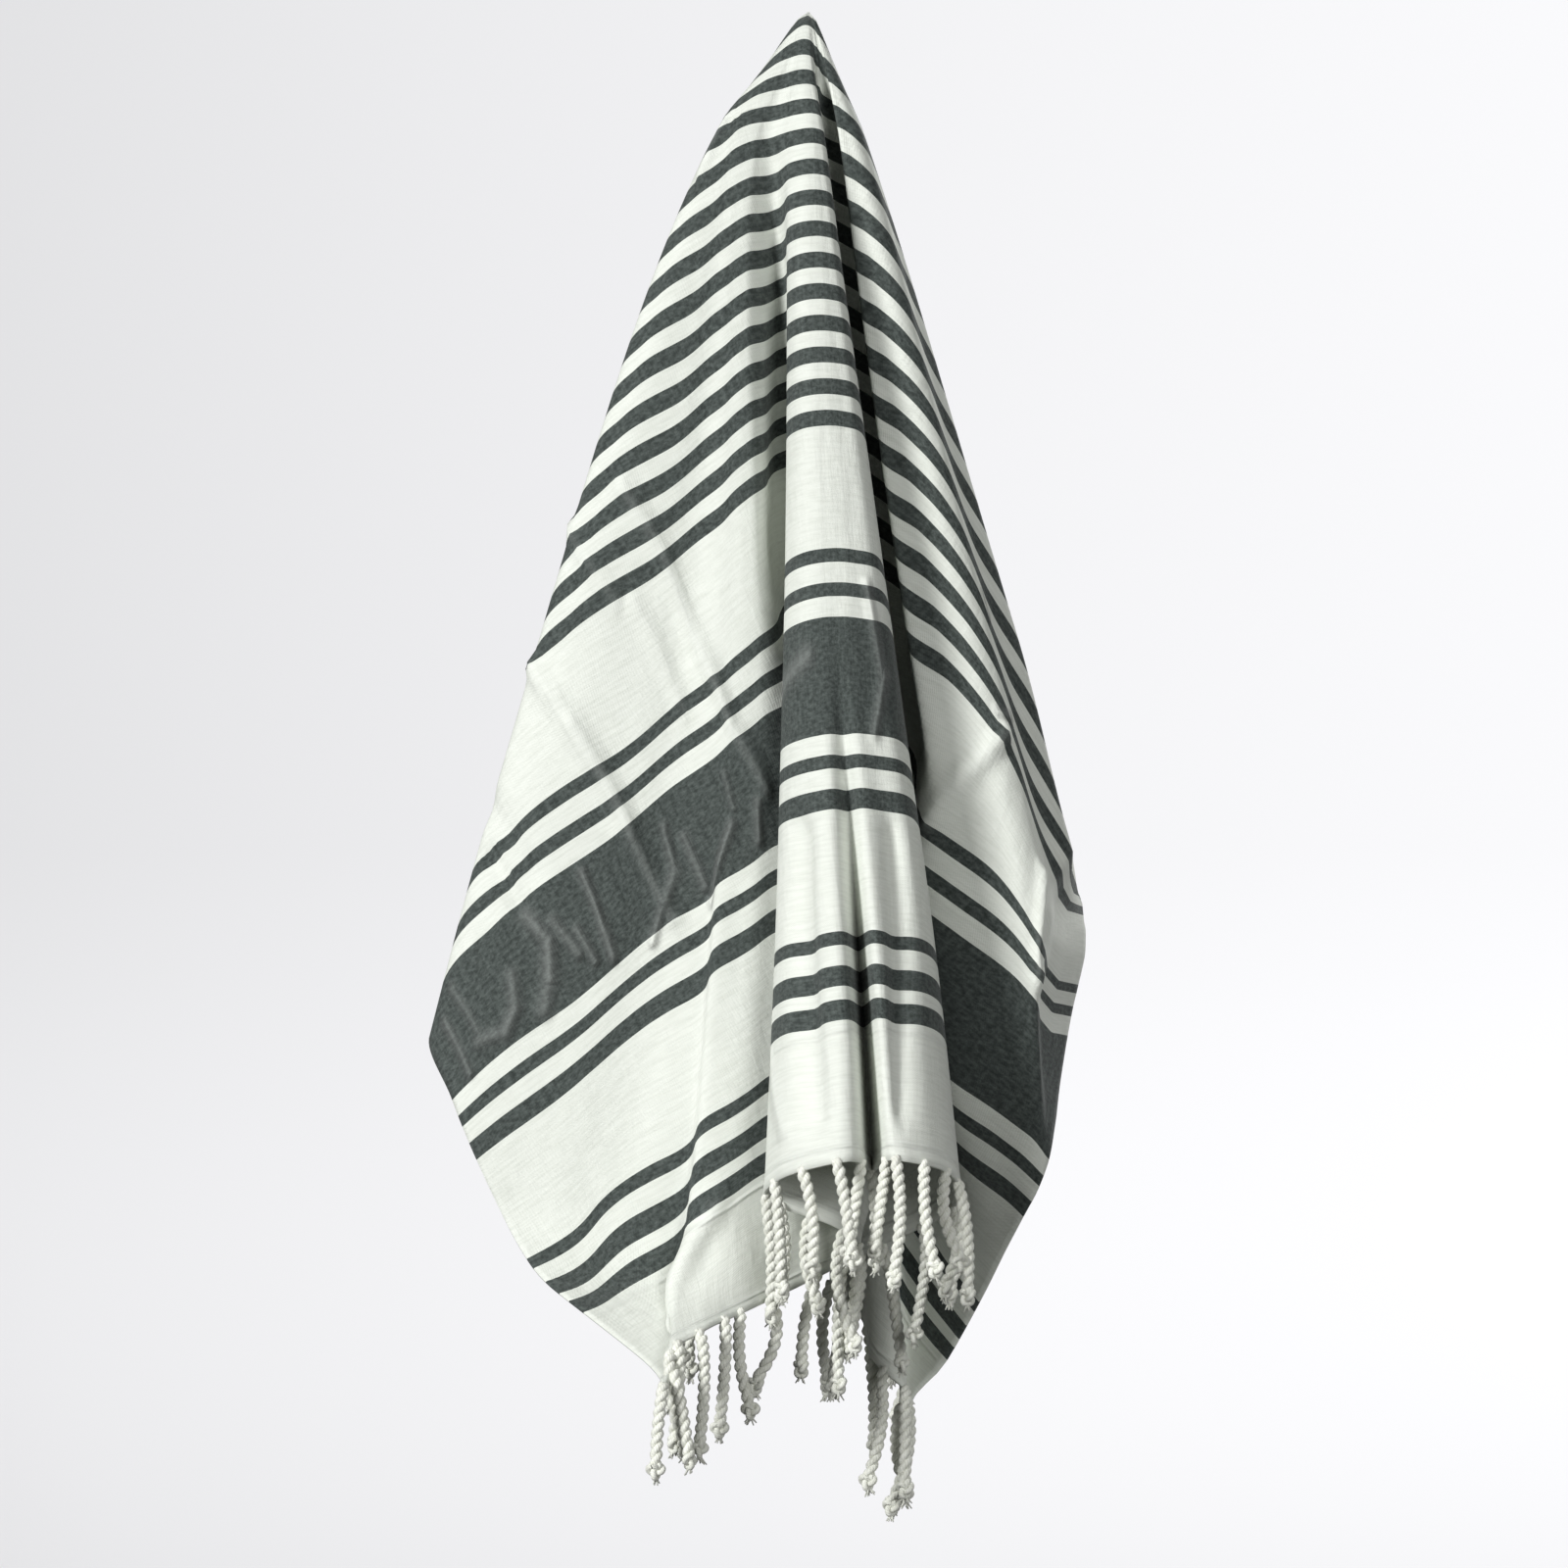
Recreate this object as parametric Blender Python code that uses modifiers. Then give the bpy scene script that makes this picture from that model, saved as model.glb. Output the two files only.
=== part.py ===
"""Hammam towel hanging from one point, with its folds, hem and two rows of fringe.

The hanging point is the origin, +Z is up and the front faces -Y. u runs across the
cloth (weft) and v along it (warp), both from the hanging point, in metres. The cloth
angle of a point is atan2(u, v): 0 is straight down the front, 180 down the back.
"""
import math

import bmesh
import bpy
import numpy as np
from mathutils import Vector

COLLECTION = "hammam_towel"

# The flat cloth, from the hanging point to its edges.
LEFT_WIDTH = 0.5035
RIGHT_WIDTH = 0.5265
FRONT_LENGTH = 0.671
BACK_LENGTH = 0.611
THICKNESS = 0.0015

# Each fold is a line from the hanging point to the edge. Its direction is a pair of
# angles in degrees: x to the right of straight down, y to the back. It starts near the
# top values and settles to the low ones, within about the fade length.
FOLD_COLUMNS = ("cloth", "low_x", "low_y", "top_x", "top_y", "fade")
FOLDS = (
    (-175.0, -1.9, 13.4, -8.5, 19.5, 0.160),
    (-170.5, -2.6, 10.0, -11.0, 17.0, 0.160),
    (-165.5, -3.2, 13.2, -13.5, 19.0, 0.160),
    (-161.0, -3.9, 16.3, -16.0, 21.0, 0.160),
    (-154.4, -4.2, 10.0, -19.4, 16.8, 0.160),
    (-150.2, -5.4, 10.0, -21.6, 16.4, 0.160),
    (-145.4, -5.5, 13.0, -23.4, 18.0, 0.160),
    (-140.5, -5.6, 16.0, -25.5, 19.6, 0.160),
    (-136.0, -9.4, 13.6, -29.0, 17.6, 0.160),
    (-132.0, -14.0, 11.6, -32.0, 15.0, 0.200),
    (-126.5, -19.2, 9.6, -33.5, 12.4, 0.200),
    (-121.0, -15.4, 7.2, -31.0, 10.0, 0.160),
    (-103.5, -1.6, 8.0, -10.0, 9.6, 0.160),
    (-98.5, -1.6, 6.6, -10.0, 6.8, 0.160),
    (-80.0, -15.4, 4.7, -31.0, 5.2, 0.160),
    (-76.0, -18.2, 3.7, -33.0, 4.0, 0.200),
    (-72.0, -15.4, 2.5, -34.0, 2.8, 0.160),
    (-66.6, -8.8, 2.1, -35.6, 1.2, 0.100),
    (-62.8, -8.8, 0.9, -35.6, 0.0, 0.100),
    (-57.0, -16.2, 0.4, -36.0, -3.6, 0.160),
    (-53.5, -19.4, -0.6, -35.6, -7.0, 0.200),
    (-49.8, -17.4, -2.2, -34.0, -9.8, 0.190),
    (-42.8, -12.2, -3.4, -31.0, -13.0, 0.130),
    (-37.6, -8.6, -3.5, -28.6, -14.0, 0.120),
    (-34.6, -6.0, -4.0, -26.4, -14.2, 0.120),
    (-32.6, -4.7, -4.2, -24.8, -14.2, 0.120),
    (-30.4, -3.0, -4.2, -23.0, -14.2, 0.120),
    (-28.5, -1.7, -4.0, -21.4, -14.0, 0.120),
    (-26.4, 0.3, -3.8, -19.6, -13.4, 0.090),
    (-24.0, 2.6, -3.3, -17.2, -13.2, 0.070),
    (-21.5, 4.4, -3.8, -14.8, -13.8, 0.065),
    (-19.0, 3.2, -4.9, -12.6, -14.8, 0.070),
    (-16.5, 1.0, -5.2, -10.8, -15.6, 0.080),
    (-13.5, -1.2, -5.6, -9.0, -16.0, 0.090),
    (-10.5, -1.9, -6.4, -7.2, -16.6, 0.100),
    (-8.1, -1.5, -7.4, -5.4, -17.2, 0.120),
    (-4.5, 0.3, -8.9, -2.4, -18.2, 0.160),
    (-2.6, 1.4, -9.3, -1.1, -18.5, 0.160),
    (0.0, 2.8, -9.3, 0.6, -18.6, 0.160),
    (2.6, 4.1, -9.1, 2.1, -18.5, 0.160),
    (4.4, 5.0, -8.8, 3.2, -18.2, 0.160),
    (8.0, 6.8, -8.0, 5.0, -17.4, 0.160),
    (11.0, 7.5, -6.2, 6.1, -15.6, 0.160),
    (13.4, 7.5, -4.4, 6.4, -12.0, 0.140),
    (16.6, 6.2, -2.4, 6.0, -7.4, 0.120),
    (19.6, 3.4, -1.2, 3.4, -4.0, 0.120),
    (22.4, 1.8, 1.2, 1.6, -2.0, 0.120),
    (25.0, 1.2, 4.0, 1.4, 0.6, 0.120),
    (28.0, 2.6, 4.2, 2.0, 1.4, 0.120),
    (30.6, 3.0, 1.8, 2.8, -0.8, 0.120),
    (33.4, 4.4, 1.6, 4.0, -1.0, 0.120),
    (36.0, 4.2, 3.6, 4.4, 1.6, 0.120),
    (38.4, 4.6, 4.6, 5.6, 3.2, 0.120),
    (42.0, 7.0, 2.2, 9.6, 1.8, 0.120),
    (44.6, 6.4, -0.4, 13.0, -1.8, 0.110),
    (46.6, 7.3, -1.9, 13.8, -7.2, 0.080),
    (48.2, 9.0, -2.6, 12.8, -11.6, 0.070),
    (51.0, 12.0, -2.8, 16.0, -12.2, 0.080),
    (54.0, 13.6, -2.9, 18.8, -11.4, 0.110),
    (57.0, 14.6, -2.2, 21.2, -8.6, 0.130),
    (61.0, 15.4, -0.6, 22.4, -4.0, 0.130),
    (64.5, 17.2, 1.6, 22.4, -0.6, 0.130),
    (68.0, 16.0, 3.4, 21.4, 2.0, 0.130),
    (84.0, 1.0, 7.4, 1.5, 5.2, 0.130),
    (89.0, 1.0, 8.4, 1.5, 6.4, 0.130),
    (109.0, 13.0, 7.8, 21.2, 7.8, 0.130),
    (114.0, 15.6, 9.2, 22.8, 9.8, 0.130),
    (119.0, 13.6, 11.2, 22.0, 12.6, 0.130),
    (124.0, 11.4, 13.2, 21.5, 15.4, 0.130),
    (129.0, 9.6, 10.4, 19.0, 13.6, 0.130),
    (132.4, 8.2, 8.4, 17.4, 12.4, 0.130),
    (135.8, 6.4, 11.4, 15.0, 14.8, 0.130),
    (139.2, 4.4, 15.8, 12.6, 18.2, 0.130),
    (144.4, 3.9, 12.4, 10.4, 16.8, 0.130),
    (149.4, 3.4, 10.4, 8.4, 15.0, 0.130),
    (153.6, 2.2, 10.4, 6.2, 15.4, 0.160),
    (160.0, 1.8, 16.6, 3.0, 20.6, 0.160),
    (165.0, 1.0, 13.2, 1.0, 18.5, 0.160),
    (169.5, 0.4, 10.0, -1.0, 16.5, 0.160),
    (174.5, -0.4, 13.4, -3.5, 19.0, 0.160),
    (180.0, -1.2, 17.2, -6.0, 22.0, 0.160),
)
# Towards the hem the folds swing by these further angles, between two distances.
SWING_COLUMNS = ("cloth", "x", "y", "start", "end")
SWINGS = (
    (-180.0, 0.0, 0.0, 0.48, 0.76),
    (-143.0, 0.0, 0.0, 0.48, 0.76),
    (-132.0, 1.6, 0.0, 0.48, 0.76),
    (-120.0, 2.2, 0.0, 0.48, 0.76),
    (-90.0, 0.0, 0.0, 0.48, 0.76),
    (-62.0, 1.4, 0.0, 0.48, 0.76),
    (-53.5, 0.8, 0.2, 0.48, 0.76),
    (-49.8, 0.4, 0.0, 0.48, 0.76),
    (-42.8, 0.0, 0.3, 0.60, 0.80),
    (-37.6, 2.4, 0.9, 0.68, 0.84),
    (-34.6, 0.2, 0.6, 0.62, 0.78),
    (-32.6, -0.7, 0.1, 0.62, 0.78),
    (-30.4, -1.5, -0.5, 0.62, 0.78),
    (-28.5, -2.0, -0.7, 0.62, 0.78),
    (-26.4, -3.0, -0.4, 0.62, 0.78),
    (-24.0, -3.9, -0.2, 0.62, 0.78),
    (-21.5, -4.2, 0.6, 0.62, 0.78),
    (-19.0, -1.6, 1.6, 0.62, 0.78),
    (-16.5, 0.2, 0.4, 0.62, 0.78),
    (-13.5, -0.1, 0.0, 0.48, 0.76),
    (-10.5, -0.2, 0.2, 0.48, 0.76),
    (-8.1, 0.2, -2.0, 0.52, 0.72),
    (-4.0, 1.2, -2.6, 0.44, 0.70),
    (-2.6, 1.0, -1.6, 0.38, 0.66),
    (0.0, 0.3, 2.6, 0.34, 0.62),
    (2.6, -0.3, -1.6, 0.38, 0.66),
    (4.4, -0.7, -2.6, 0.44, 0.70),
    (8.0, -0.5, -2.0, 0.52, 0.72),
    (13.4, -0.4, -0.4, 0.50, 0.74),
    (20.0, -0.2, 0.6, 0.50, 0.70),
    (28.0, -0.2, 0.8, 0.50, 0.72),
    (33.4, -0.4, 1.2, 0.56, 0.74),
    (36.0, -0.4, 2.2, 0.58, 0.76),
    (38.4, -0.6, 3.4, 0.60, 0.76),
    (42.0, -1.0, 3.4, 0.60, 0.76),
    (44.6, 1.3, 4.0, 0.60, 0.75),
    (46.6, 1.7, 3.9, 0.60, 0.74),
    (48.2, 1.0, 3.0, 0.60, 0.72),
    (51.0, 0.0, 1.8, 0.60, 0.72),
    (54.0, -0.4, 0.6, 0.50, 0.66),
    (57.0, -0.8, 0.4, 0.50, 0.64),
    (61.0, -1.2, 0.0, 0.50, 0.64),
    (75.0, -0.6, 0.0, 0.48, 0.76),
    (100.0, 0.0, 0.0, 0.48, 0.76),
    (114.0, -1.0, 0.0, 0.48, 0.76),
    (124.0, -0.6, 0.0, 0.48, 0.76),
    (140.0, 0.0, 0.0, 0.48, 0.76),
)
# These angles are added above instead, and are gone at the end distance.
DIVES = (
    (-180.0, 0.0, 0.0, 0.30, 0.46),
    (-90.0, 0.0, 0.0, 0.30, 0.46),
    (-42.8, 0.0, 0.0, 0.30, 0.46),
    (-37.6, 0.0, 0.2, 0.30, 0.46),
    (-34.6, -0.2, 0.0, 0.30, 0.46),
    (-32.6, -0.5, 0.0, 0.30, 0.46),
    (-30.4, -0.9, -0.1, 0.30, 0.46),
    (-28.5, -1.1, 0.1, 0.30, 0.46),
    (-26.4, -3.7, 1.2, 0.30, 0.46),
    (-24.0, -6.6, 2.7, 0.30, 0.46),
    (-21.5, -7.9, 5.3, 0.30, 0.46),
    (-19.0, -4.6, 6.7, 0.30, 0.46),
    (-16.5, -1.3, 5.1, 0.30, 0.46),
    (-13.5, 0.4, 3.0, 0.30, 0.46),
    (-10.5, 0.1, 1.3, 0.30, 0.46),
    (-8.1, 0.1, 0.6, 0.30, 0.46),
    (-4.5, 0.1, 0.1, 0.30, 0.46),
    (0.0, 0.0, 0.0, 0.34, 0.48),
    (8.0, 0.0, 0.0, 0.38, 0.50),
    (13.4, 0.1, 0.8, 0.38, 0.50),
    (16.6, 0.8, 1.6, 0.38, 0.50),
    (19.6, 0.6, 1.4, 0.38, 0.50),
    (22.4, 0.0, 0.4, 0.38, 0.50),
    (28.0, 0.0, 0.0, 0.38, 0.50),
    (36.0, 0.0, 0.0, 0.38, 0.50),
    (38.4, 0.0, 1.0, 0.38, 0.50),
    (42.0, 1.2, 1.8, 0.38, 0.50),
    (44.6, 3.6, 2.4, 0.38, 0.50),
    (46.6, 2.5, 1.1, 0.38, 0.50),
    (48.2, -0.2, -0.3, 0.38, 0.50),
    (51.0, -0.4, -0.2, 0.38, 0.50),
    (54.0, 0.0, 0.0, 0.38, 0.50),
    (90.0, 0.0, 0.0, 0.38, 0.50),
)

# The round top, before the folds start.
CROWN_CENTRE = (-5.5, 1.5)
CROWN_SPREAD = (29.5, 19.0)
CROWN_START = 0.005
CROWN_END = 0.085
CROWN_RISE = 0.006
TOP_REACH = 0.08

# The two front corners curl: where they lie in the flat cloth, how far from the hanging
# point the bend starts, its angle in degrees, and its side (-1 front, 1 back).
CORNER_COLUMNS = ("u", "v", "start", "turn", "side")
BENT_CORNERS = (
    (-LEFT_WIDTH, FRONT_LENGTH, 0.695, 58.0, -1.0),
    (RIGHT_WIDTH, FRONT_LENGTH, 0.750, 60.0, -1.0),
)
CORNER_BEND = 0.06

# Beside the right selvedge a strip of cloth is folded back along a ridge.
RIDGE_WIDTH = 0.457
RIDGE_LOW_WIDTH = 0.505
RIDGE_FROM = 0.340
RIDGE_TO = 0.430
STRIP_FROM = 0.120
STRIP_TO = 0.250
STRIP_END_FROM = 0.380
STRIP_END_TO = 0.458
FLARE_FROM = 0.200
FLARE_TO = 0.270
STRIP_COLUMNS = ("past", "x", "y", "z")
STRIP = (
    (0.000, 0.000, 0.000, 0.000),
    (0.006, 0.001, 0.005, -0.003),
    (0.018, 0.002, 0.015, -0.010),
    (0.035, 0.009, 0.030, -0.018),
    (0.070, 0.021, 0.055, -0.021),
)

# The mesh: shares of the way from the hanging point to the edge, and columns a fold.
ROWS = (0.0, 0.014, 0.032, 0.058, 0.095, 0.15, 0.23, 0.34, 0.5, 0.68, 0.82, 0.868, 0.92, 0.96, 1.0)
FOLD_SPANS = (5.1, 10.0)
FOLD_STEPS = (2, 3, 5)

# The fringe: a strip parted from the hem, and strands that hang from it.
FRINGE_GAP = 0.0028
FRINGE_BAND = 0.005
BAND_THICKNESS = 0.0011
FRINGE_END = 0.001
STRAND_COUNT = 40
STRAND_MARGIN = 0.007
ROOT_STEP = 0.002
ROOT_SHIFTS = 4
ROOT_APART = 0.009
ROOT_FREE = 0.0065
HEM_SAMPLES = 800
ROOT_HALF = 0.0025
STRAND_LENGTH = 0.062
STRAND_CHANGE = 0.006
CHANGE_STEP = 1.9
# Share of the strand's length, and half its size along and across the strip there.
STRAND_RINGS = (
    (0.12, 0.0018, 0.0013),
    (0.55, 0.0026, 0.0026),
    (1.00, 0.0026, 0.0026),
)
STRAND_SWAY = 0.004
SWAY_STEP = 2.4
COLUMN_SPACE = 0.0012
NORMAL_STEP = 0.0004
MERGE = 0.00005

COTTON = (0.72, 0.73, 0.72, 1.0)
YARN = (0.76, 0.76, 0.73, 1.0)
ROUGHNESS = 0.9


def column(rows, names, name):
    """One named column of a table."""
    return np.array([row[names.index(name)] for row in rows])


def smooth(start, end, x):
    """0 before the start, 1 after the end, with a soft step between."""
    t = np.clip((x - start) / (end - start), 0.0, 1.0)
    return t * t * (3.0 - 2.0 * t)


def around(angles, values, x):
    """A smooth curve through the values at the angles, closed over 360 degrees."""
    knots = np.concatenate([angles[-2:] - 360.0, angles, angles[:3] + 360.0])
    points = np.concatenate([values[-2:], values, values[:3]])
    steps = np.diff(knots)
    rises = np.diff(points) / steps
    slopes = np.zeros_like(points)
    slopes[1:-1] = (rises[:-1] * steps[1:] + rises[1:] * steps[:-1]) / (steps[:-1] + steps[1:])
    x = (x - angles[0]) % 360.0 + angles[0]
    i = np.clip(np.searchsorted(knots, x, side="right") - 1, 1, len(knots) - 3)
    h = steps[i]
    t = (x - knots[i]) / h
    start = (2 * t ** 3 - 3 * t ** 2 + 1) * points[i] + (t ** 3 - 2 * t ** 2 + t) * h * slopes[i]
    end = (3 * t ** 2 - 2 * t ** 3) * points[i + 1] + (t ** 3 - t ** 2) * h * slopes[i + 1]
    return start + end


def moves_at(rows, cloth, reach):
    """The moves of a table at a cloth angle, and their share at a distance."""
    angles = column(rows, SWING_COLUMNS, "cloth")
    names = SWING_COLUMNS[1:]
    x, y, start, end = (around(angles, column(rows, SWING_COLUMNS, name), cloth) for name in names)
    return (x, y), smooth(start, end, reach)


def direction(cloth, reach):
    """The two angles of the cloth's direction at a cloth angle and a distance."""
    angles = column(FOLDS, FOLD_COLUMNS, "cloth")
    fade = around(angles, column(FOLDS, FOLD_COLUMNS, "fade"), cloth)
    top_share = np.minimum(np.exp((TOP_REACH - reach) / fade), 1.0)
    swings, swing_share = moves_at(SWINGS, cloth, reach)
    dives, dive_gone = moves_at(DIVES, cloth, reach)
    crown_share = 1.0 - smooth(CROWN_START, CROWN_END, reach)
    turn = np.radians(cloth)
    crown = (
        CROWN_CENTRE[0] + CROWN_SPREAD[0] * np.sin(turn),
        CROWN_CENTRE[1] - CROWN_SPREAD[1] * np.cos(turn),
    )
    result = []
    for axis, ring, swing, dive in zip(("x", "y"), crown, swings, dives):
        low = around(angles, column(FOLDS, FOLD_COLUMNS, "low_" + axis), cloth)
        low = low + dive * (1.0 - dive_gone)
        top = around(angles, column(FOLDS, FOLD_COLUMNS, "top_" + axis), cloth)
        value = low + swing * swing_share + (top - low) * top_share
        result.append(value + (ring - value) * crown_share)
    return result


def cone(u, v):
    """The folds alone: every point at its own distance along its direction."""
    reach = np.hypot(u, v)
    x_angle, y_angle = direction(np.degrees(np.arctan2(u, v)), reach)
    tilt = np.radians(np.hypot(x_angle, y_angle)) + 1e-9
    x = reach * np.sin(tilt) * np.radians(x_angle) / tilt
    y = reach * np.sin(tilt) * np.radians(y_angle) / tilt
    z = CROWN_RISE - np.sqrt((reach * np.cos(tilt)) ** 2 + CROWN_RISE ** 2)
    return np.stack([x, y, z], axis=-1)


def folded_strip(u, v, points):
    """Moves the cloth past the ridge to where its strip lies."""
    ridge = RIDGE_WIDTH + (RIDGE_LOW_WIDTH - RIDGE_WIDTH) * smooth(RIDGE_FROM, RIDGE_TO, v)
    past = np.clip(u - ridge, 0.0, None)
    knots = column(STRIP, STRIP_COLUMNS, "past")
    moves = [np.interp(past, knots, column(STRIP, STRIP_COLUMNS, axis)) for axis in "xyz"]
    moves[0] = moves[0] * smooth(FLARE_FROM, FLARE_TO, v)
    target = cone(np.minimum(u, ridge), v) + np.stack(moves, axis=-1)
    share = smooth(STRIP_FROM, STRIP_TO, v) * (1.0 - smooth(STRIP_END_FROM, STRIP_END_TO, v))
    share = share * (u > ridge)
    return points + (target - points) * share[..., None]


def turned_corner(u, v, points, corner):
    """Bends the cloth near one corner about a line across its diagonal."""
    values = dict(zip(CORNER_COLUMNS, corner))
    out = points / (np.linalg.norm(points, axis=-1, keepdims=True) + 1e-9)
    along_diagonal = (u * values["u"] + v * values["v"]) / math.hypot(values["u"], values["v"])
    past = np.clip(along_diagonal - values["start"], 0.0, None)
    turn = math.radians(values["turn"])
    bend = np.minimum(past, CORNER_BEND)
    rest = np.maximum(past - CORNER_BEND, 0.0)
    radius = CORNER_BEND / turn
    along = radius * np.sin(bend / radius) + rest * math.cos(turn)
    across = radius * (1.0 - np.cos(bend / radius)) + rest * math.sin(turn)
    moved = points + out * (along - past)[..., None]
    moved[..., 1] += values["side"] * across
    return moved


def drape(u, v):
    """Where the hanging cloth has the point u, v of the flat cloth."""
    points = folded_strip(u, v, cone(u, v))
    for corner in BENT_CORNERS:
        points = turned_corner(u, v, points, corner)
    return points


def edge_reach(cloth):
    """Distance from the hanging point to the cloth's edge at a cloth angle."""
    turn = np.radians(cloth)
    width = np.where(np.sin(turn) < 0.0, LEFT_WIDTH, RIGHT_WIDTH)
    to_selvedge = width / np.maximum(np.abs(np.sin(turn)), 1e-9)
    length = np.where(np.cos(turn) > 0.0, FRONT_LENGTH, BACK_LENGTH)
    to_hem = length / np.maximum(np.abs(np.cos(turn)), 1e-9)
    return np.minimum(to_selvedge, to_hem)


def mesh_angles():
    """Cloth angles of the mesh's columns: a few for each fold, and the corners."""
    ends = [(u, v) for u in (-LEFT_WIDTH, RIGHT_WIDTH) for v in (FRONT_LENGTH, -BACK_LENGTH)]
    corners = [math.degrees(math.atan2(u, v)) for u, v in ends]
    folds = [row[0] for row in FOLDS]
    apart = [fold for fold in folds if min(abs(fold - corner) for corner in corners) > 1.0]
    stops = [-180.0] + sorted(apart + corners)
    angles = []
    for start, end in zip(stops[:-1], stops[1:]):
        count = FOLD_STEPS[sum(end - start > span for span in FOLD_SPANS)]
        angles.extend(start + (end - start) * k / count for k in range(count))
    return np.array(angles + [180.0])


def flat_grid(columns, rows):
    """A bmesh grid with integer steps, to be moved into shape."""
    bm = bmesh.new()
    bmesh.ops.create_grid(bm, x_segments=columns, y_segments=rows, size=0.5)
    steps = [(round((v.co.x + 0.5) * columns), round((v.co.y + 0.5) * rows)) for v in bm.verts]
    return bm, np.array(steps)


def place(bm, points):
    """Moves every vertex of the grid to its point."""
    for vertex, point in zip(bm.verts, points):
        vertex.co = Vector(point.tolist())


def add_object(name, bm, colour, collection):
    """An object with its own material from a bmesh."""
    mesh = bpy.data.meshes.new(name)
    bmesh.ops.recalc_face_normals(bm, faces=bm.faces)
    bm.to_mesh(mesh)
    bm.free()
    material = bpy.data.materials.new(name)
    material.use_nodes = True
    shader = material.node_tree.nodes["Principled BSDF"]
    shader.inputs["Base Color"].default_value = colour
    shader.inputs["Roughness"].default_value = ROUGHNESS
    shader.inputs["Metallic"].default_value = 0.0
    mesh.materials.append(material)
    obj = bpy.data.objects.new(name, mesh)
    collection.objects.link(obj)
    return obj


def add_cloth(collection):
    """The sheet: a grid from the hanging point to the edge, then its thickness."""
    angles = mesh_angles()
    bm, steps = flat_grid(len(angles) - 1, len(ROWS) - 1)
    cloth = angles[steps[:, 0]]
    reach = np.array(ROWS)[steps[:, 1]] * edge_reach(cloth)
    turn = np.radians(cloth)
    place(bm, drape(reach * np.sin(turn), reach * np.cos(turn)))
    bmesh.ops.remove_doubles(bm, verts=bm.verts, dist=MERGE)
    cloth_object = add_object("towel_cloth", bm, COTTON, collection)
    sheet = cloth_object.modifiers.new("thickness", "SOLIDIFY")
    sheet.thickness = THICKNESS
    sheet.offset = 0.0
    return cloth_object


def hem_stops(length):
    """The cloth's own columns across a hem, and its strip's ends."""
    stops = [-LEFT_WIDTH + FRINGE_END, RIGHT_WIDTH - FRINGE_END]
    for cloth in mesh_angles():
        turn = math.radians(cloth)
        u = abs(length) * math.tan(turn) * math.copysign(1.0, math.cos(turn))
        on_hem = math.cos(turn) * length > 0.0
        if on_hem and stops[0] + COLUMN_SPACE < u < stops[1] - COLUMN_SPACE:
            stops.append(u)
    return np.array(sorted(set(stops)))


def strand_roots(stops, length):
    """The strands' places across a hem, moved a little where a fold hangs below."""
    line = np.linspace(stops[0], stops[-1], HEM_SAMPLES)
    hem = drape(line, np.full(HEM_SAMPLES, length))
    evenly = np.linspace(stops[0] + STRAND_MARGIN, stops[-1] - STRAND_MARGIN, STRAND_COUNT)
    room = ROOT_HALF + COLUMN_SPACE
    roots = []
    taken = []
    for place in evenly:
        choices = []
        for step in range(ROOT_SHIFTS + 1):
            for u in (place + step * ROOT_STEP, place - step * ROOT_STEP):
                i = min(max(int(np.searchsorted(stops, u)), 1), len(stops) - 1)
                u = float(np.clip(u, stops[i - 1] + room, stops[i] - room))
                root = drape(np.array([u]), np.array([length]))[0]
                below = (np.abs(line - u) > ROOT_APART) & (hem[:, 2] < root[2])
                others = np.concatenate([hem[below], np.array(taken).reshape(-1, 3)])
                free = np.hypot(others[:, 0] - root[0], others[:, 1] - root[1]).min(initial=1.0)
                choices.append((min(free, ROOT_FREE), -step, u, tuple(root)))
        free, step, u, root = max(choices)
        roots.append(u)
        taken.append(root)
    return np.array(roots)


def hem_points(u, v, stops):
    """Middle points and unit normals beside the hem, straight between the stops."""
    points = np.zeros((len(u), 3))
    normals = np.zeros((len(u), 3))
    for row in set(v.tolist()):
        line = np.full(len(stops), row)
        middle = drape(stops, line)
        across = drape(stops + NORMAL_STEP, line) - drape(stops - NORMAL_STEP, line)
        down = drape(stops, line + NORMAL_STEP) - drape(stops, line - NORMAL_STEP)
        facing = np.cross(across, down)
        for axis in range(3):
            points[v == row, axis] = np.interp(u[v == row], stops, middle[:, axis])
            normals[v == row, axis] = np.interp(u[v == row], stops, facing[:, axis])
    return points, normals / np.linalg.norm(normals, axis=-1, keepdims=True)


def add_strand(bm, face, number):
    """Draws one strand straight down from a face under the strip."""
    centre = face.calc_center_median()
    edges = sorted((edge.verts[1].co - edge.verts[0].co for edge in face.edges), key=len_of)
    slope = edges[-1].normalized()
    level = Vector((slope.x, slope.y, 0.0)).normalized()
    across = Vector((-level.y, level.x, 0.0))
    signs = []
    for vertex in face.verts:
        offset = vertex.co - centre
        signs.append((math.copysign(1.0, offset.dot(slope)), math.copysign(1.0, offset.dot(across))))
    length = STRAND_LENGTH + STRAND_CHANGE * math.sin(number * CHANGE_STEP)
    for (share, wide, deep), along in zip(STRAND_RINGS, (slope, level, level)):
        sway = STRAND_SWAY * math.sin(number * SWAY_STEP) * share * share
        middle = centre + level * sway - Vector((0.0, 0.0, length * share))
        face = bmesh.ops.extrude_discrete_faces(bm, faces=[face])["faces"][0]
        for vertex, (a, b) in zip(face.verts, signs):
            vertex.co = middle + along * (a * wide) + across * (b * deep)


def len_of(edge):
    """An edge vector's length, to sort by."""
    return edge.length


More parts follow.
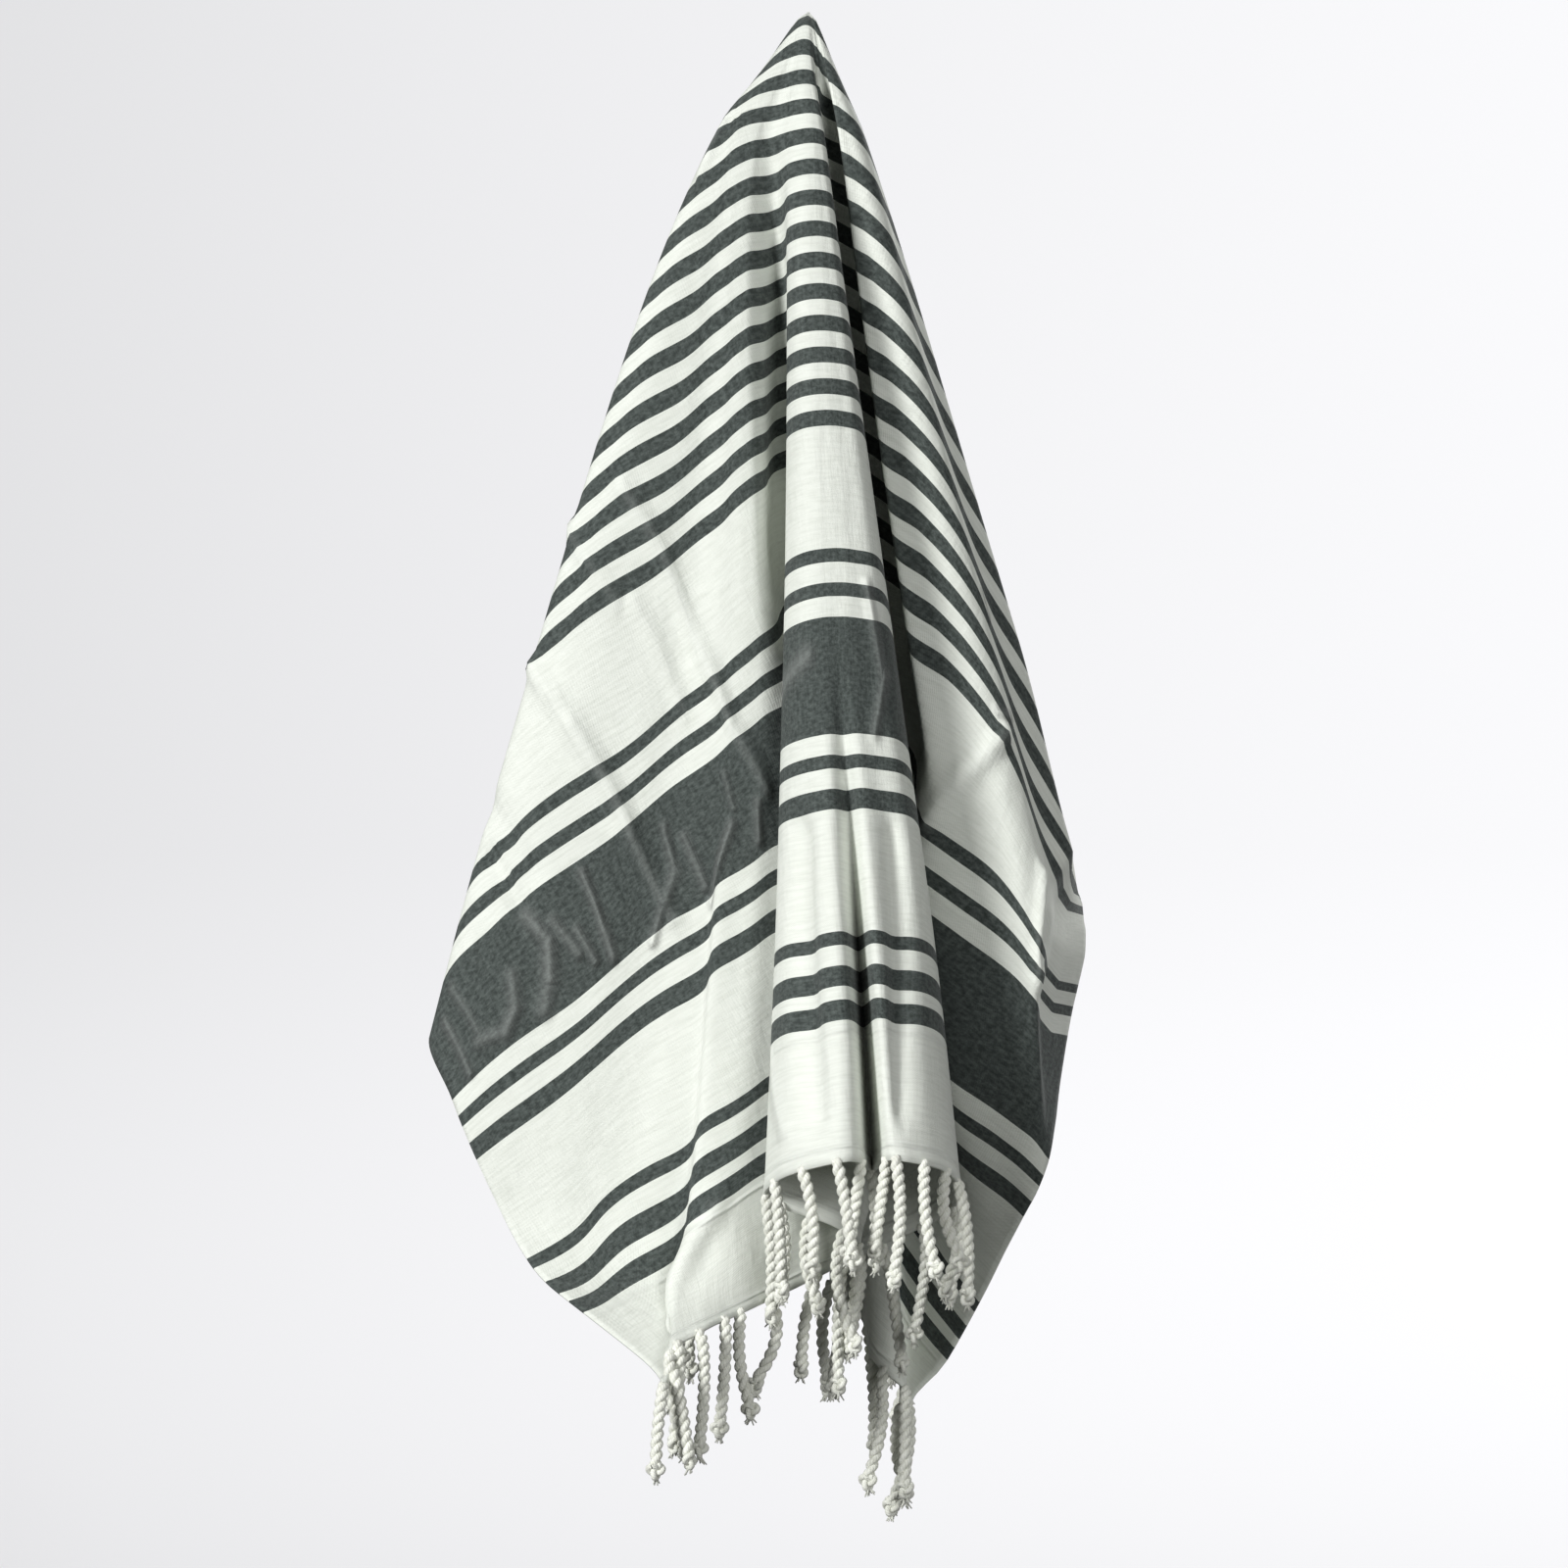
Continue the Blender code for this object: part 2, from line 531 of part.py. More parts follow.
def add_fringe(name, length, collection):
    """The strip under one hem and its strands. The back hem's length is negative."""
    stops = hem_stops(length)
    roots = strand_roots(stops, length)
    places = np.sort(np.concatenate([stops, roots - ROOT_HALF, roots + ROOT_HALF]))
    drops = np.array([0.0, FRINGE_BAND, FRINGE_BAND, 0.0, 0.0]) + FRINGE_GAP
    sides = np.array([0.5, 0.5, -0.5, -0.5, 0.5]) * BAND_THICKNESS
    bm, steps = flat_grid(len(places) - 1, len(drops) - 1)
    middle, normals = hem_points(
        places[steps[:, 0]], length + math.copysign(1.0, length) * drops[steps[:, 1]], stops
    )
    place(bm, middle + normals * sides[steps[:, 1]][:, None])
    under = []
    for face in bm.faces:
        rows = {int(steps[vertex.index][1]) for vertex in face.verts}
        ends = sorted({int(steps[vertex.index][0]) for vertex in face.verts})
        centre = places[ends].mean()
        number = int(np.argmin(np.abs(roots - centre)))
        if rows == {1, 2} and abs(roots[number] - centre) < MERGE:
            under.append((face, number))
    bmesh.ops.remove_doubles(bm, verts=bm.verts, dist=MERGE)
    bmesh.ops.holes_fill(bm, edges=[edge for edge in bm.edges if edge.is_boundary], sides=4)
    for face, number in under:
        add_strand(bm, face, number)
    return add_object(name, bm, YARN, collection)


def build():
    """Clears the scene and makes the towel."""
    for obj in list(bpy.data.objects):
        bpy.data.objects.remove(obj, do_unlink=True)
    collection = bpy.data.collections.new(COLLECTION)
    bpy.context.scene.collection.children.link(collection)
    add_cloth(collection)
    add_fringe("fringe_front", FRONT_LENGTH, collection)
    add_fringe("fringe_back", -BACK_LENGTH, collection)


build()
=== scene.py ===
import math
import bpy
import numpy as np
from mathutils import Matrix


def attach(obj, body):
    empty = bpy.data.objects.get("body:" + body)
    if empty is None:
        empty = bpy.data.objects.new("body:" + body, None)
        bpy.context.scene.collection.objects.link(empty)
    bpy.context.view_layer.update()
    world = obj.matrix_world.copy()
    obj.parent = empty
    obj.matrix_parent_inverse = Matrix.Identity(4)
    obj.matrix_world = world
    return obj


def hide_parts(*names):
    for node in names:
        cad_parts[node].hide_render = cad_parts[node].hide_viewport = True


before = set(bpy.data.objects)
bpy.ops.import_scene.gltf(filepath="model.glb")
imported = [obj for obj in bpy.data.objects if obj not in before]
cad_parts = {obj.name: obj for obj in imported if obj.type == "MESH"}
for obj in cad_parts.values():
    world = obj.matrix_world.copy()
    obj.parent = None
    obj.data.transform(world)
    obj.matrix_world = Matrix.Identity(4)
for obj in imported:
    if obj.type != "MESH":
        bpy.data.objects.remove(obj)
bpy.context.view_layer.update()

# The flat cloth, in metres from the hanging point. u runs across it and v down the front.
clothCut = {
    "left": 0.5035,
    "right": 0.5265,
    "front": 0.671,
    "back": 0.611,
    "thick": 0.0011,
    "hemThick": 0.0019,
    "hemWide": 0.008,
    "hemSoft": 0.002,
}

# Every fold is a line from the hanging point to the edge, at a cloth angle (0 is straight
# down the front, 180 down the back). low and top are its directions in degrees, x to the
# right and y to the back, and it changes from top to low within the fade length.
drapeShape = {
    "folds": [
        # cloth, lowX, lowY, topX, topY, fade
        (-175.0, -1.9, 13.4, -8.5, 19.5, 0.160),
        (-170.5, -2.6, 10.0, -11.0, 17.0, 0.160),
        (-165.5, -3.2, 13.2, -13.5, 19.0, 0.160),
        (-161.0, -3.9, 16.3, -16.0, 21.0, 0.160),
        (-154.4, -4.2, 10.0, -19.4, 16.8, 0.160),
        (-150.2, -5.4, 10.0, -21.6, 16.4, 0.160),
        (-145.4, -5.5, 13.0, -23.4, 18.0, 0.160),
        (-140.5, -5.6, 16.0, -25.5, 19.6, 0.160),
        (-136.0, -9.4, 13.6, -29.0, 17.6, 0.160),
        (-132.0, -14.0, 11.6, -32.0, 15.0, 0.200),
        (-126.5, -19.2, 9.6, -33.5, 12.4, 0.200),
        (-121.0, -15.4, 7.2, -31.0, 10.0, 0.160),
        (-103.5, -1.6, 8.0, -10.0, 9.6, 0.160),
        (-98.5, -1.6, 6.6, -10.0, 6.8, 0.160),
        (-80.0, -15.4, 4.7, -31.0, 5.2, 0.160),
        (-76.0, -18.2, 3.7, -33.0, 4.0, 0.200),
        (-72.0, -15.4, 2.5, -34.0, 2.8, 0.160),
        (-66.6, -8.8, 2.1, -35.6, 1.2, 0.100),
        (-62.8, -8.8, 0.9, -35.6, 0.0, 0.100),
        (-57.0, -16.2, 0.4, -36.0, -3.6, 0.160),
        (-53.5, -19.4, -0.6, -35.6, -7.0, 0.200),
        (-49.8, -17.4, -2.2, -34.0, -9.8, 0.190),
        (-42.8, -12.2, -3.4, -31.0, -13.0, 0.130),
        (-37.6, -8.6, -3.5, -28.6, -14.0, 0.120),
        (-34.6, -6.0, -4.0, -26.4, -14.2, 0.120),
        (-32.6, -4.7, -4.2, -24.8, -14.2, 0.120),
        (-30.4, -3.0, -4.2, -23.0, -14.2, 0.120),
        (-28.5, -1.7, -4.0, -21.4, -14.0, 0.120),
        (-26.4, 0.3, -3.8, -19.6, -13.4, 0.090),
        (-24.0, 2.6, -3.3, -17.2, -13.2, 0.070),
        (-21.5, 4.4, -3.8, -14.8, -13.8, 0.065),
        (-19.0, 3.2, -4.9, -12.6, -14.8, 0.070),
        (-16.5, 1.0, -5.2, -10.8, -15.6, 0.080),
        (-13.5, -1.2, -5.6, -9.0, -16.0, 0.090),
        (-10.5, -1.9, -6.4, -7.2, -16.6, 0.100),
        (-8.1, -1.5, -7.4, -5.4, -17.2, 0.120),
        (-4.5, 0.3, -8.9, -2.4, -18.2, 0.160),
        (-2.6, 1.4, -9.3, -1.1, -18.5, 0.160),
        (0.0, 2.8, -9.3, 0.6, -18.6, 0.160),
        (2.6, 4.1, -9.1, 2.1, -18.5, 0.160),
        (4.4, 5.0, -8.8, 3.2, -18.2, 0.160),
        (8.0, 6.8, -8.0, 5.0, -17.4, 0.160),
        (11.0, 7.5, -6.2, 6.1, -15.6, 0.160),
        (13.4, 7.5, -4.4, 6.4, -12.0, 0.140),
        (16.6, 6.2, -2.4, 6.0, -7.4, 0.120),
        (19.6, 3.4, -1.2, 3.4, -4.0, 0.120),
        (22.4, 1.8, 1.2, 1.6, -2.0, 0.120),
        (25.0, 1.2, 4.0, 1.4, 0.6, 0.120),
        (28.0, 2.6, 4.2, 2.0, 1.4, 0.120),
        (30.6, 3.0, 1.8, 2.8, -0.8, 0.120),
        (33.4, 4.4, 1.6, 4.0, -1.0, 0.120),
        (36.0, 4.2, 3.6, 4.4, 1.6, 0.120),
        (38.4, 4.6, 4.6, 5.6, 3.2, 0.120),
        (42.0, 7.0, 2.2, 9.6, 1.8, 0.120),
        (44.6, 6.4, -0.4, 13.0, -1.8, 0.110),
        (46.6, 7.3, -1.9, 13.8, -7.2, 0.080),
        (48.2, 9.0, -2.6, 12.8, -11.6, 0.070),
        (51.0, 12.0, -2.8, 16.0, -12.2, 0.080),
        (54.0, 13.6, -2.9, 18.8, -11.4, 0.110),
        (57.0, 14.6, -2.2, 21.2, -8.6, 0.130),
        (61.0, 15.4, -0.6, 22.4, -4.0, 0.130),
        (64.5, 17.2, 1.6, 22.4, -0.6, 0.130),
        (68.0, 16.0, 3.4, 21.4, 2.0, 0.130),
        (84.0, 1.0, 7.4, 1.5, 5.2, 0.130),
        (89.0, 1.0, 8.4, 1.5, 6.4, 0.130),
        (109.0, 13.0, 7.8, 21.2, 7.8, 0.130),
        (114.0, 15.6, 9.2, 22.8, 9.8, 0.130),
        (119.0, 13.6, 11.2, 22.0, 12.6, 0.130),
        (124.0, 11.4, 13.2, 21.5, 15.4, 0.130),
        (129.0, 9.6, 10.4, 19.0, 13.6, 0.130),
        (132.4, 8.2, 8.4, 17.4, 12.4, 0.130),
        (135.8, 6.4, 11.4, 15.0, 14.8, 0.130),
        (139.2, 4.4, 15.8, 12.6, 18.2, 0.130),
        (144.4, 3.9, 12.4, 10.4, 16.8, 0.130),
        (149.4, 3.4, 10.4, 8.4, 15.0, 0.130),
        (153.6, 2.2, 10.4, 6.2, 15.4, 0.160),
        (160.0, 1.8, 16.6, 3.0, 20.6, 0.160),
        (165.0, 1.0, 13.2, 1.0, 18.5, 0.160),
        (169.5, 0.4, 10.0, -1.0, 16.5, 0.160),
        (174.5, -0.4, 13.4, -3.5, 19.0, 0.160),
        (180.0, -1.2, 17.2, -6.0, 22.0, 0.160),
    ],
    "swings": [
        # cloth, further degrees x and y towards the hem, and where they start and end
        (-180.0, 0.0, 0.0, 0.48, 0.76),
        (-143.0, 0.0, 0.0, 0.48, 0.76),
        (-132.0, 1.6, 0.0, 0.48, 0.76),
        (-120.0, 2.2, 0.0, 0.48, 0.76),
        (-90.0, 0.0, 0.0, 0.48, 0.76),
        (-62.0, 1.4, 0.0, 0.48, 0.76),
        (-53.5, 0.8, 0.2, 0.48, 0.76),
        (-49.8, 0.4, 0.0, 0.48, 0.76),
        (-42.8, 0.0, 0.3, 0.60, 0.80),
        (-37.6, 2.4, 0.9, 0.68, 0.84),
        (-34.6, 0.2, 0.6, 0.62, 0.78),
        (-32.6, -0.7, 0.1, 0.62, 0.78),
        (-30.4, -1.5, -0.5, 0.62, 0.78),
        (-28.5, -2.0, -0.7, 0.62, 0.78),
        (-26.4, -3.0, -0.4, 0.62, 0.78),
        (-24.0, -3.9, -0.2, 0.62, 0.78),
        (-21.5, -4.2, 0.6, 0.62, 0.78),
        (-19.0, -1.6, 1.6, 0.62, 0.78),
        (-16.5, 0.2, 0.4, 0.62, 0.78),
        (-13.5, -0.1, 0.0, 0.48, 0.76),
        (-10.5, -0.2, 0.2, 0.48, 0.76),
        (-8.1, 0.2, -2.0, 0.52, 0.72),
        (-4.0, 1.2, -2.6, 0.44, 0.70),
        (-2.6, 1.0, -1.6, 0.38, 0.66),
        (0.0, 0.3, 2.6, 0.34, 0.62),
        (2.6, -0.3, -1.6, 0.38, 0.66),
        (4.4, -0.7, -2.6, 0.44, 0.70),
        (8.0, -0.5, -2.0, 0.52, 0.72),
        (13.4, -0.4, -0.4, 0.50, 0.74),
        (20.0, -0.2, 0.6, 0.50, 0.70),
        (28.0, -0.2, 0.8, 0.50, 0.72),
        (33.4, -0.4, 1.2, 0.56, 0.74),
        (36.0, -0.4, 2.2, 0.58, 0.76),
        (38.4, -0.6, 3.4, 0.60, 0.76),
        (42.0, -1.0, 3.4, 0.60, 0.76),
        (44.6, 1.3, 4.0, 0.60, 0.75),
        (46.6, 1.7, 3.9, 0.60, 0.74),
        (48.2, 1.0, 3.0, 0.60, 0.72),
        (51.0, 0.0, 1.8, 0.60, 0.72),
        (54.0, -0.4, 0.6, 0.50, 0.66),
        (57.0, -0.8, 0.4, 0.50, 0.64),
        (61.0, -1.2, 0.0, 0.50, 0.64),
        (75.0, -0.6, 0.0, 0.48, 0.76),
        (100.0, 0.0, 0.0, 0.48, 0.76),
        (114.0, -1.0, 0.0, 0.48, 0.76),
        (124.0, -0.6, 0.0, 0.48, 0.76),
        (140.0, 0.0, 0.0, 0.48, 0.76),
    ],
    "dives": [
        # cloth, the same as for the swings, but from the top and gone at the end
        (-180.0, 0.0, 0.0, 0.30, 0.46),
        (-90.0, 0.0, 0.0, 0.30, 0.46),
        (-42.8, 0.0, 0.0, 0.30, 0.46),
        (-37.6, 0.0, 0.2, 0.30, 0.46),
        (-34.6, -0.2, 0.0, 0.30, 0.46),
        (-32.6, -0.5, 0.0, 0.30, 0.46),
        (-30.4, -0.9, -0.1, 0.30, 0.46),
        (-28.5, -1.1, 0.1, 0.30, 0.46),
        (-26.4, -3.7, 1.2, 0.30, 0.46),
        (-24.0, -6.6, 2.7, 0.30, 0.46),
        (-21.5, -7.9, 5.3, 0.30, 0.46),
        (-19.0, -4.6, 6.7, 0.30, 0.46),
        (-16.5, -1.3, 5.1, 0.30, 0.46),
        (-13.5, 0.4, 3.0, 0.30, 0.46),
        (-10.5, 0.1, 1.3, 0.30, 0.46),
        (-8.1, 0.1, 0.6, 0.30, 0.46),
        (-4.5, 0.1, 0.1, 0.30, 0.46),
        (0.0, 0.0, 0.0, 0.34, 0.48),
        (8.0, 0.0, 0.0, 0.38, 0.50),
        (13.4, 0.1, 0.8, 0.38, 0.50),
        (16.6, 0.8, 1.6, 0.38, 0.50),
        (19.6, 0.6, 1.4, 0.38, 0.50),
        (22.4, 0.0, 0.4, 0.38, 0.50),
        (28.0, 0.0, 0.0, 0.38, 0.50),
        (36.0, 0.0, 0.0, 0.38, 0.50),
        (38.4, 0.0, 1.0, 0.38, 0.50),
        (42.0, 1.2, 1.8, 0.38, 0.50),
        (44.6, 3.6, 2.4, 0.38, 0.50),
        (46.6, 2.5, 1.1, 0.38, 0.50),
        (48.2, -0.2, -0.3, 0.38, 0.50),
        (51.0, -0.4, -0.2, 0.38, 0.50),
        (54.0, 0.0, 0.0, 0.38, 0.50),
        (90.0, 0.0, 0.0, 0.38, 0.50),
    ],
    "steps": [
        # cloth, the same as for the swings: one narrow fold beside the middle
        (-70.0, 0.0, 0.0, 0.470, 0.515),
        (-44.0, 0.0, 0.0, 0.470, 0.515),
        (-38.4, 0.0, 0.0, 0.470, 0.515),
        (-36.4, 0.06, 0.05, 0.470, 0.515),
        (-34.2, 0.19, 0.16, 0.470, 0.515),
        (-33.2, -0.19, -0.16, 0.470, 0.515),
        (-31.2, -0.06, -0.05, 0.470, 0.515),
        (-29.4, 0.0, 0.0, 0.470, 0.515),
        (-26.0, 0.0, 0.0, 0.470, 0.515),
        (-20.0, 0.0, 0.0, 0.470, 0.515),
        (100.0, 0.0, 0.0, 0.470, 0.515),
    ],
    "creases": [
        # u and v of one end and of the other, width and height, in metres
        (-0.2205, 0.2000, -0.2240, 0.3000, 0.0052, 0.0050),
        (-0.2240, 0.3000, -0.2255, 0.3550, 0.0052, 0.0059),
        (-0.2255, 0.3550, -0.2214, 0.3950, 0.0060, 0.0050),
        (-0.2655, 0.1860, -0.2600, 0.2500, 0.0045, 0.0032),
        (-0.2520, 0.2560, -0.2516, 0.3250, 0.0045, 0.0032),
        (-0.3269, 0.2500, -0.3214, 0.2920, 0.0055, 0.0046),
        (-0.3214, 0.2920, -0.3228, 0.3680, 0.0060, 0.0065),
        (-0.3228, 0.3680, -0.3180, 0.4240, 0.0060, 0.0059),
        (-0.4080, 0.3250, -0.4030, 0.3650, 0.0070, -0.0050),
        (-0.3940, 0.3000, -0.3900, 0.3500, 0.0080, -0.0032),
        (0.3600, 0.2400, 0.3477, 0.2870, 0.0060, 0.0055),
        (0.3477, 0.2870, 0.3508, 0.3220, 0.0060, 0.0055),
        (0.4340, 0.2800, 0.4570, 0.3500, 0.0060, 0.0046),
        (-0.0900, 0.0750, -0.0633, 0.0550, 0.0040, 0.0032),
        (-0.0460, 0.4800, -0.0640, 0.6400, 0.0090, -0.0069),
        (0.0500, 0.4800, 0.0560, 0.6400, 0.0090, -0.0046),
        (-0.3600, 0.5920, -0.4400, 0.6400, 0.0090, 0.0069),
    ],
    "crownCentre": (-5.5, 1.5),
    "crownSpread": (29.5, 19.0),
    "crownFrom": 0.005,
    "crownTo": 0.085,
    "crownRise": 0.006,
    "topReach": 0.08,
    "slopeStep": 0.0006,
    # flat place of the corner, where its bend starts, degrees, and side (-1 front, 1 back)
    "corners": [
        (-clothCut["left"], clothCut["front"], 0.695, 58.0, -1.0),
        (clothCut["right"], clothCut["front"], 0.750, 60.0, -1.0),
    ],
    "cornerBend": 0.06,
    # beside the right selvedge a strip is folded back along a ridge: its distance across
    # above and below, and the distances down between which it changes
    "ridge": (0.457, 0.505, 0.340, 0.430),
    # the distances down between which the strip sets in, and between which it ends
    "stripShare": (0.120, 0.250, 0.380, 0.458),
    "stripFlare": (0.200, 0.270),  # and between which its moves in x set in
    "strip": [
        # past the ridge, and the moves x, y and z
        (0.000, 0.000, 0.000, 0.000),
        (0.006, 0.001, 0.005, -0.003),
        (0.018, 0.002, 0.015, -0.010),
        (0.035, 0.009, 0.030, -0.018),
        (0.070, 0.021, 0.055, -0.021),
    ],
}


def smoothStep(start, end, x):
    # 0 before start, 1 after end, 3t^2 - 2t^3 between them
    t = np.clip((x - start) / (end - start), 0.0, 1.0)
    return t * t * (3.0 - 2.0 * t)


def aroundCurve(angles, values, x):
    # cubic Hermite curve through the values, closed over 360 degrees; each slope is the
    # mean of the rises beside it, the nearer one weighing more
    knots = np.concatenate([angles[-2:] - 360.0, angles, angles[:3] + 360.0])
    points = np.concatenate([values[-2:], values, values[:3]])
    steps = np.diff(knots)
    rises = np.diff(points) / steps
    slopes = np.zeros_like(points)
    slopes[1:-1] = (rises[:-1] * steps[1:] + rises[1:] * steps[:-1]) / (steps[:-1] + steps[1:])
    x = (x - angles[0]) % 360.0 + angles[0]
    i = np.clip(np.searchsorted(knots, x, side="right") - 1, 1, len(knots) - 3)
    h = steps[i]
    t = (x - knots[i]) / h
    start = (2 * t ** 3 - 3 * t ** 2 + 1) * points[i] + (t ** 3 - 2 * t ** 2 + t) * h * slopes[i]
    end = (3 * t ** 2 - 2 * t ** 3) * points[i + 1] + (t ** 3 - t ** 2) * h * slopes[i + 1]
    return start + end


foldTable = np.array(drapeShape["folds"])
swingTable = np.array(drapeShape["swings"])
diveTable = np.array(drapeShape["dives"])
stepTable = np.array(drapeShape["steps"])
stripTable = np.array(drapeShape["strip"])


def tableMoves(table, cloth, reach):
    # the moves x and y of a table, and the share that is past at this distance
    moveX, moveY, start, end = (aroundCurve(table[:, 0], table[:, i], cloth) for i in range(1, 5))
    return (moveX, moveY), smoothStep(start, end, reach)


def foldDirection(cloth, reach):
    # direction = low + dive above + swing and step below + (top - low) e^((topReach - reach)
    # / fade), and a plain ellipse of directions at the crown
    folds = foldTable
    fade = aroundCurve(folds[:, 0], folds[:, 5], cloth)
    topShare = np.minimum(np.exp((drapeShape["topReach"] - reach) / fade), 1.0)
    swings, swingShare = tableMoves(swingTable, cloth, reach)
    dives, diveGone = tableMoves(diveTable, cloth, reach)
    steps, stepShare = tableMoves(stepTable, cloth, reach)
    crownShare = 1.0 - smoothStep(drapeShape["crownFrom"], drapeShape["crownTo"], reach)
    turn = np.radians(cloth)
    crown = (
        drapeShape["crownCentre"][0] + drapeShape["crownSpread"][0] * np.sin(turn),
        drapeShape["crownCentre"][1] - drapeShape["crownSpread"][1] * np.cos(turn),
    )
    angles = []
    for axis in (0, 1):
        low = aroundCurve(folds[:, 0], folds[:, 1 + axis], cloth)
        low = low + dives[axis] * (1.0 - diveGone)
        top = aroundCurve(folds[:, 0], folds[:, 3 + axis], cloth)
        value = low + swings[axis] * swingShare + (top - low) * topShare
        value = value + steps[axis] * stepShare
        angles.append(value + (crown[axis] - value) * crownShare)
    return angles


def foldedCone(u, v):
    # each point at its flat distance from the hanging point, along its fold's direction
    reach = np.hypot(u, v)
    xAngle, yAngle = foldDirection(np.degrees(np.arctan2(u, v)), reach)
    tilt = np.radians(np.hypot(xAngle, yAngle)) + 1e-9
    x = reach * np.sin(tilt) * np.radians(xAngle) / tilt
    y = reach * np.sin(tilt) * np.radians(yAngle) / tilt
    rise = drapeShape["crownRise"]
    return np.stack([x, y, rise - np.sqrt((reach * np.cos(tilt)) ** 2 + rise ** 2)], axis=-1)


def foldedStrip(u, v, points):
    # past the ridge line the cloth lies where the strip's table moves the ridge to
    start, lowStart, fromV, toV = drapeShape["ridge"]
    ridge = start + (lowStart - start) * smoothStep(fromV, toV, v)
    past = np.clip(u - ridge, 0.0, None)
    moves = [np.interp(past, stripTable[:, 0], stripTable[:, i]) for i in (1, 2, 3)]
    moves[0] = moves[0] * smoothStep(*drapeShape["stripFlare"], v)
    target = foldedCone(np.minimum(u, ridge), v) + np.stack(moves, axis=-1)
    a, b, c, d = drapeShape["stripShare"]
    share = smoothStep(a, b, v) * (1.0 - smoothStep(c, d, v)) * (u > ridge)
    return points + (target - points) * share[..., None]


def bentCorner(u, v, points, corner):
    # past the start along its diagonal the cloth follows an arc, then goes straight on
    cornerU, cornerV, start, degrees, side = corner
    out = points / (np.linalg.norm(points, axis=-1, keepdims=True) + 1e-9)
    past = np.clip((u * cornerU + v * cornerV) / math.hypot(cornerU, cornerV) - start, 0.0, None)
    turn = math.radians(degrees)
    bend = np.minimum(past, drapeShape["cornerBend"])
    rest = past - bend
    radius = drapeShape["cornerBend"] / turn
    along = radius * np.sin(bend / radius) + rest * math.cos(turn)
    across = radius * (1.0 - np.cos(bend / radius)) + rest * math.sin(turn)
    moved = points + out * (along - past)[..., None]
    moved[..., 1] += side * across
    return moved


def drape(u, v):
    # where the hanging cloth has the point u, v of the flat cloth
    points = foldedStrip(u, v, foldedCone(u, v))
    for corner in drapeShape["corners"]:
        points = bentCorner(u, v, points, corner)
    return points


def surfaceNormal(u, v):
    # cross product of the surface's slopes along u and v, turned outwards
    step = drapeShape["slopeStep"]
    across = drape(u + step, v) - drape(u - step, v)
    down = drape(u, v + step) - drape(u, v - step)
    normal = np.cross(across, down)
    return -normal / (np.linalg.norm(normal, axis=-1, keepdims=True) + 1e-12)


def edgeReach(cloth):
    # distance from the hanging point to the nearer of a selvedge and a hem
    turn = np.radians(cloth)
    width = np.where(np.sin(turn) < 0.0, clothCut["left"], clothCut["right"])
    length = np.where(np.cos(turn) > 0.0, clothCut["front"], clothCut["back"])
    toSelvedge = width / np.maximum(np.abs(np.sin(turn)), 1e-9)
    return np.minimum(toSelvedge, length / np.maximum(np.abs(np.cos(turn)), 1e-9))


def addMesh(name, points, faces, uv=None):
    # a mesh object at the origin from arrays, with its own UV map
    mesh = bpy.data.meshes.new(name)
    mesh.from_pydata(points.tolist(), [], faces)
    mesh.update()
    if uv is not None:
        layer = mesh.uv_layers.new(name="flatCloth")
        corners = np.empty(len(mesh.loops), dtype=np.int32)
        mesh.loops.foreach_get("vertex_index", corners)
        layer.data.foreach_set("uv", uv[corners].astype(np.float32).ravel())
    mesh.polygons.foreach_set("use_smooth", np.full(len(mesh.polygons), True))
    piece = bpy.data.objects.new(name, mesh)
    bpy.context.scene.collection.objects.link(piece)
    return piece


def creased(u, v, points, normal):
    # each crease lifts the cloth by height e^(-(distance / width)^2), the distance being to the
    # line between its ends, so the lift fades past its ends
    lift = np.zeros_like(u)
    for u0, v0, u1, v1, wide, high in drapeShape["creases"]:
        long = math.hypot(u1 - u0, v1 - v0)
        along = ((u - u0) * (u1 - u0) + (v - v0) * (v1 - v0)) / long ** 2
        near = np.clip(along, 0.0, 1.0)
        apart = np.hypot(u - u0 - near * (u1 - u0), v - v0 - near * (v1 - v0))
        one = high * np.exp(-(apart / wide) ** 2)
        lift = np.where(np.abs(one) > np.abs(lift), one, lift)
    return points + normal * lift[..., None]


# Columns of the mesh: cloth angle from, to, and the step between columns, in degrees.
clothGrid = {
    "spans": [
        (-180.0, -60.0, 1.6),
        (-60.0, -27.0, 0.28),
        (-27.0, 14.0, 0.42),
        (14.0, 44.0, 0.75),
        (44.0, 64.0, 0.30),
        (64.0, 180.0, 1.6),
    ],
    "rows": 105,
    "rowBias": 0.85,
}


def clothColumns():
    # evenly spaced angles in each span, with the corners put in place of their nearest
    angles = []
    for start, end, step in clothGrid["spans"]:
        count = int(round((end - start) / step))
        angles.append(start + (end - start) * np.arange(count) / count)
    angles = np.concatenate(angles)
    for u in (-clothCut["left"], clothCut["right"]):
        for v in (clothCut["front"], -clothCut["back"]):
            corner = math.degrees(math.atan2(u, v))
            angles[np.argmin(np.abs(angles - corner))] = corner
    return angles


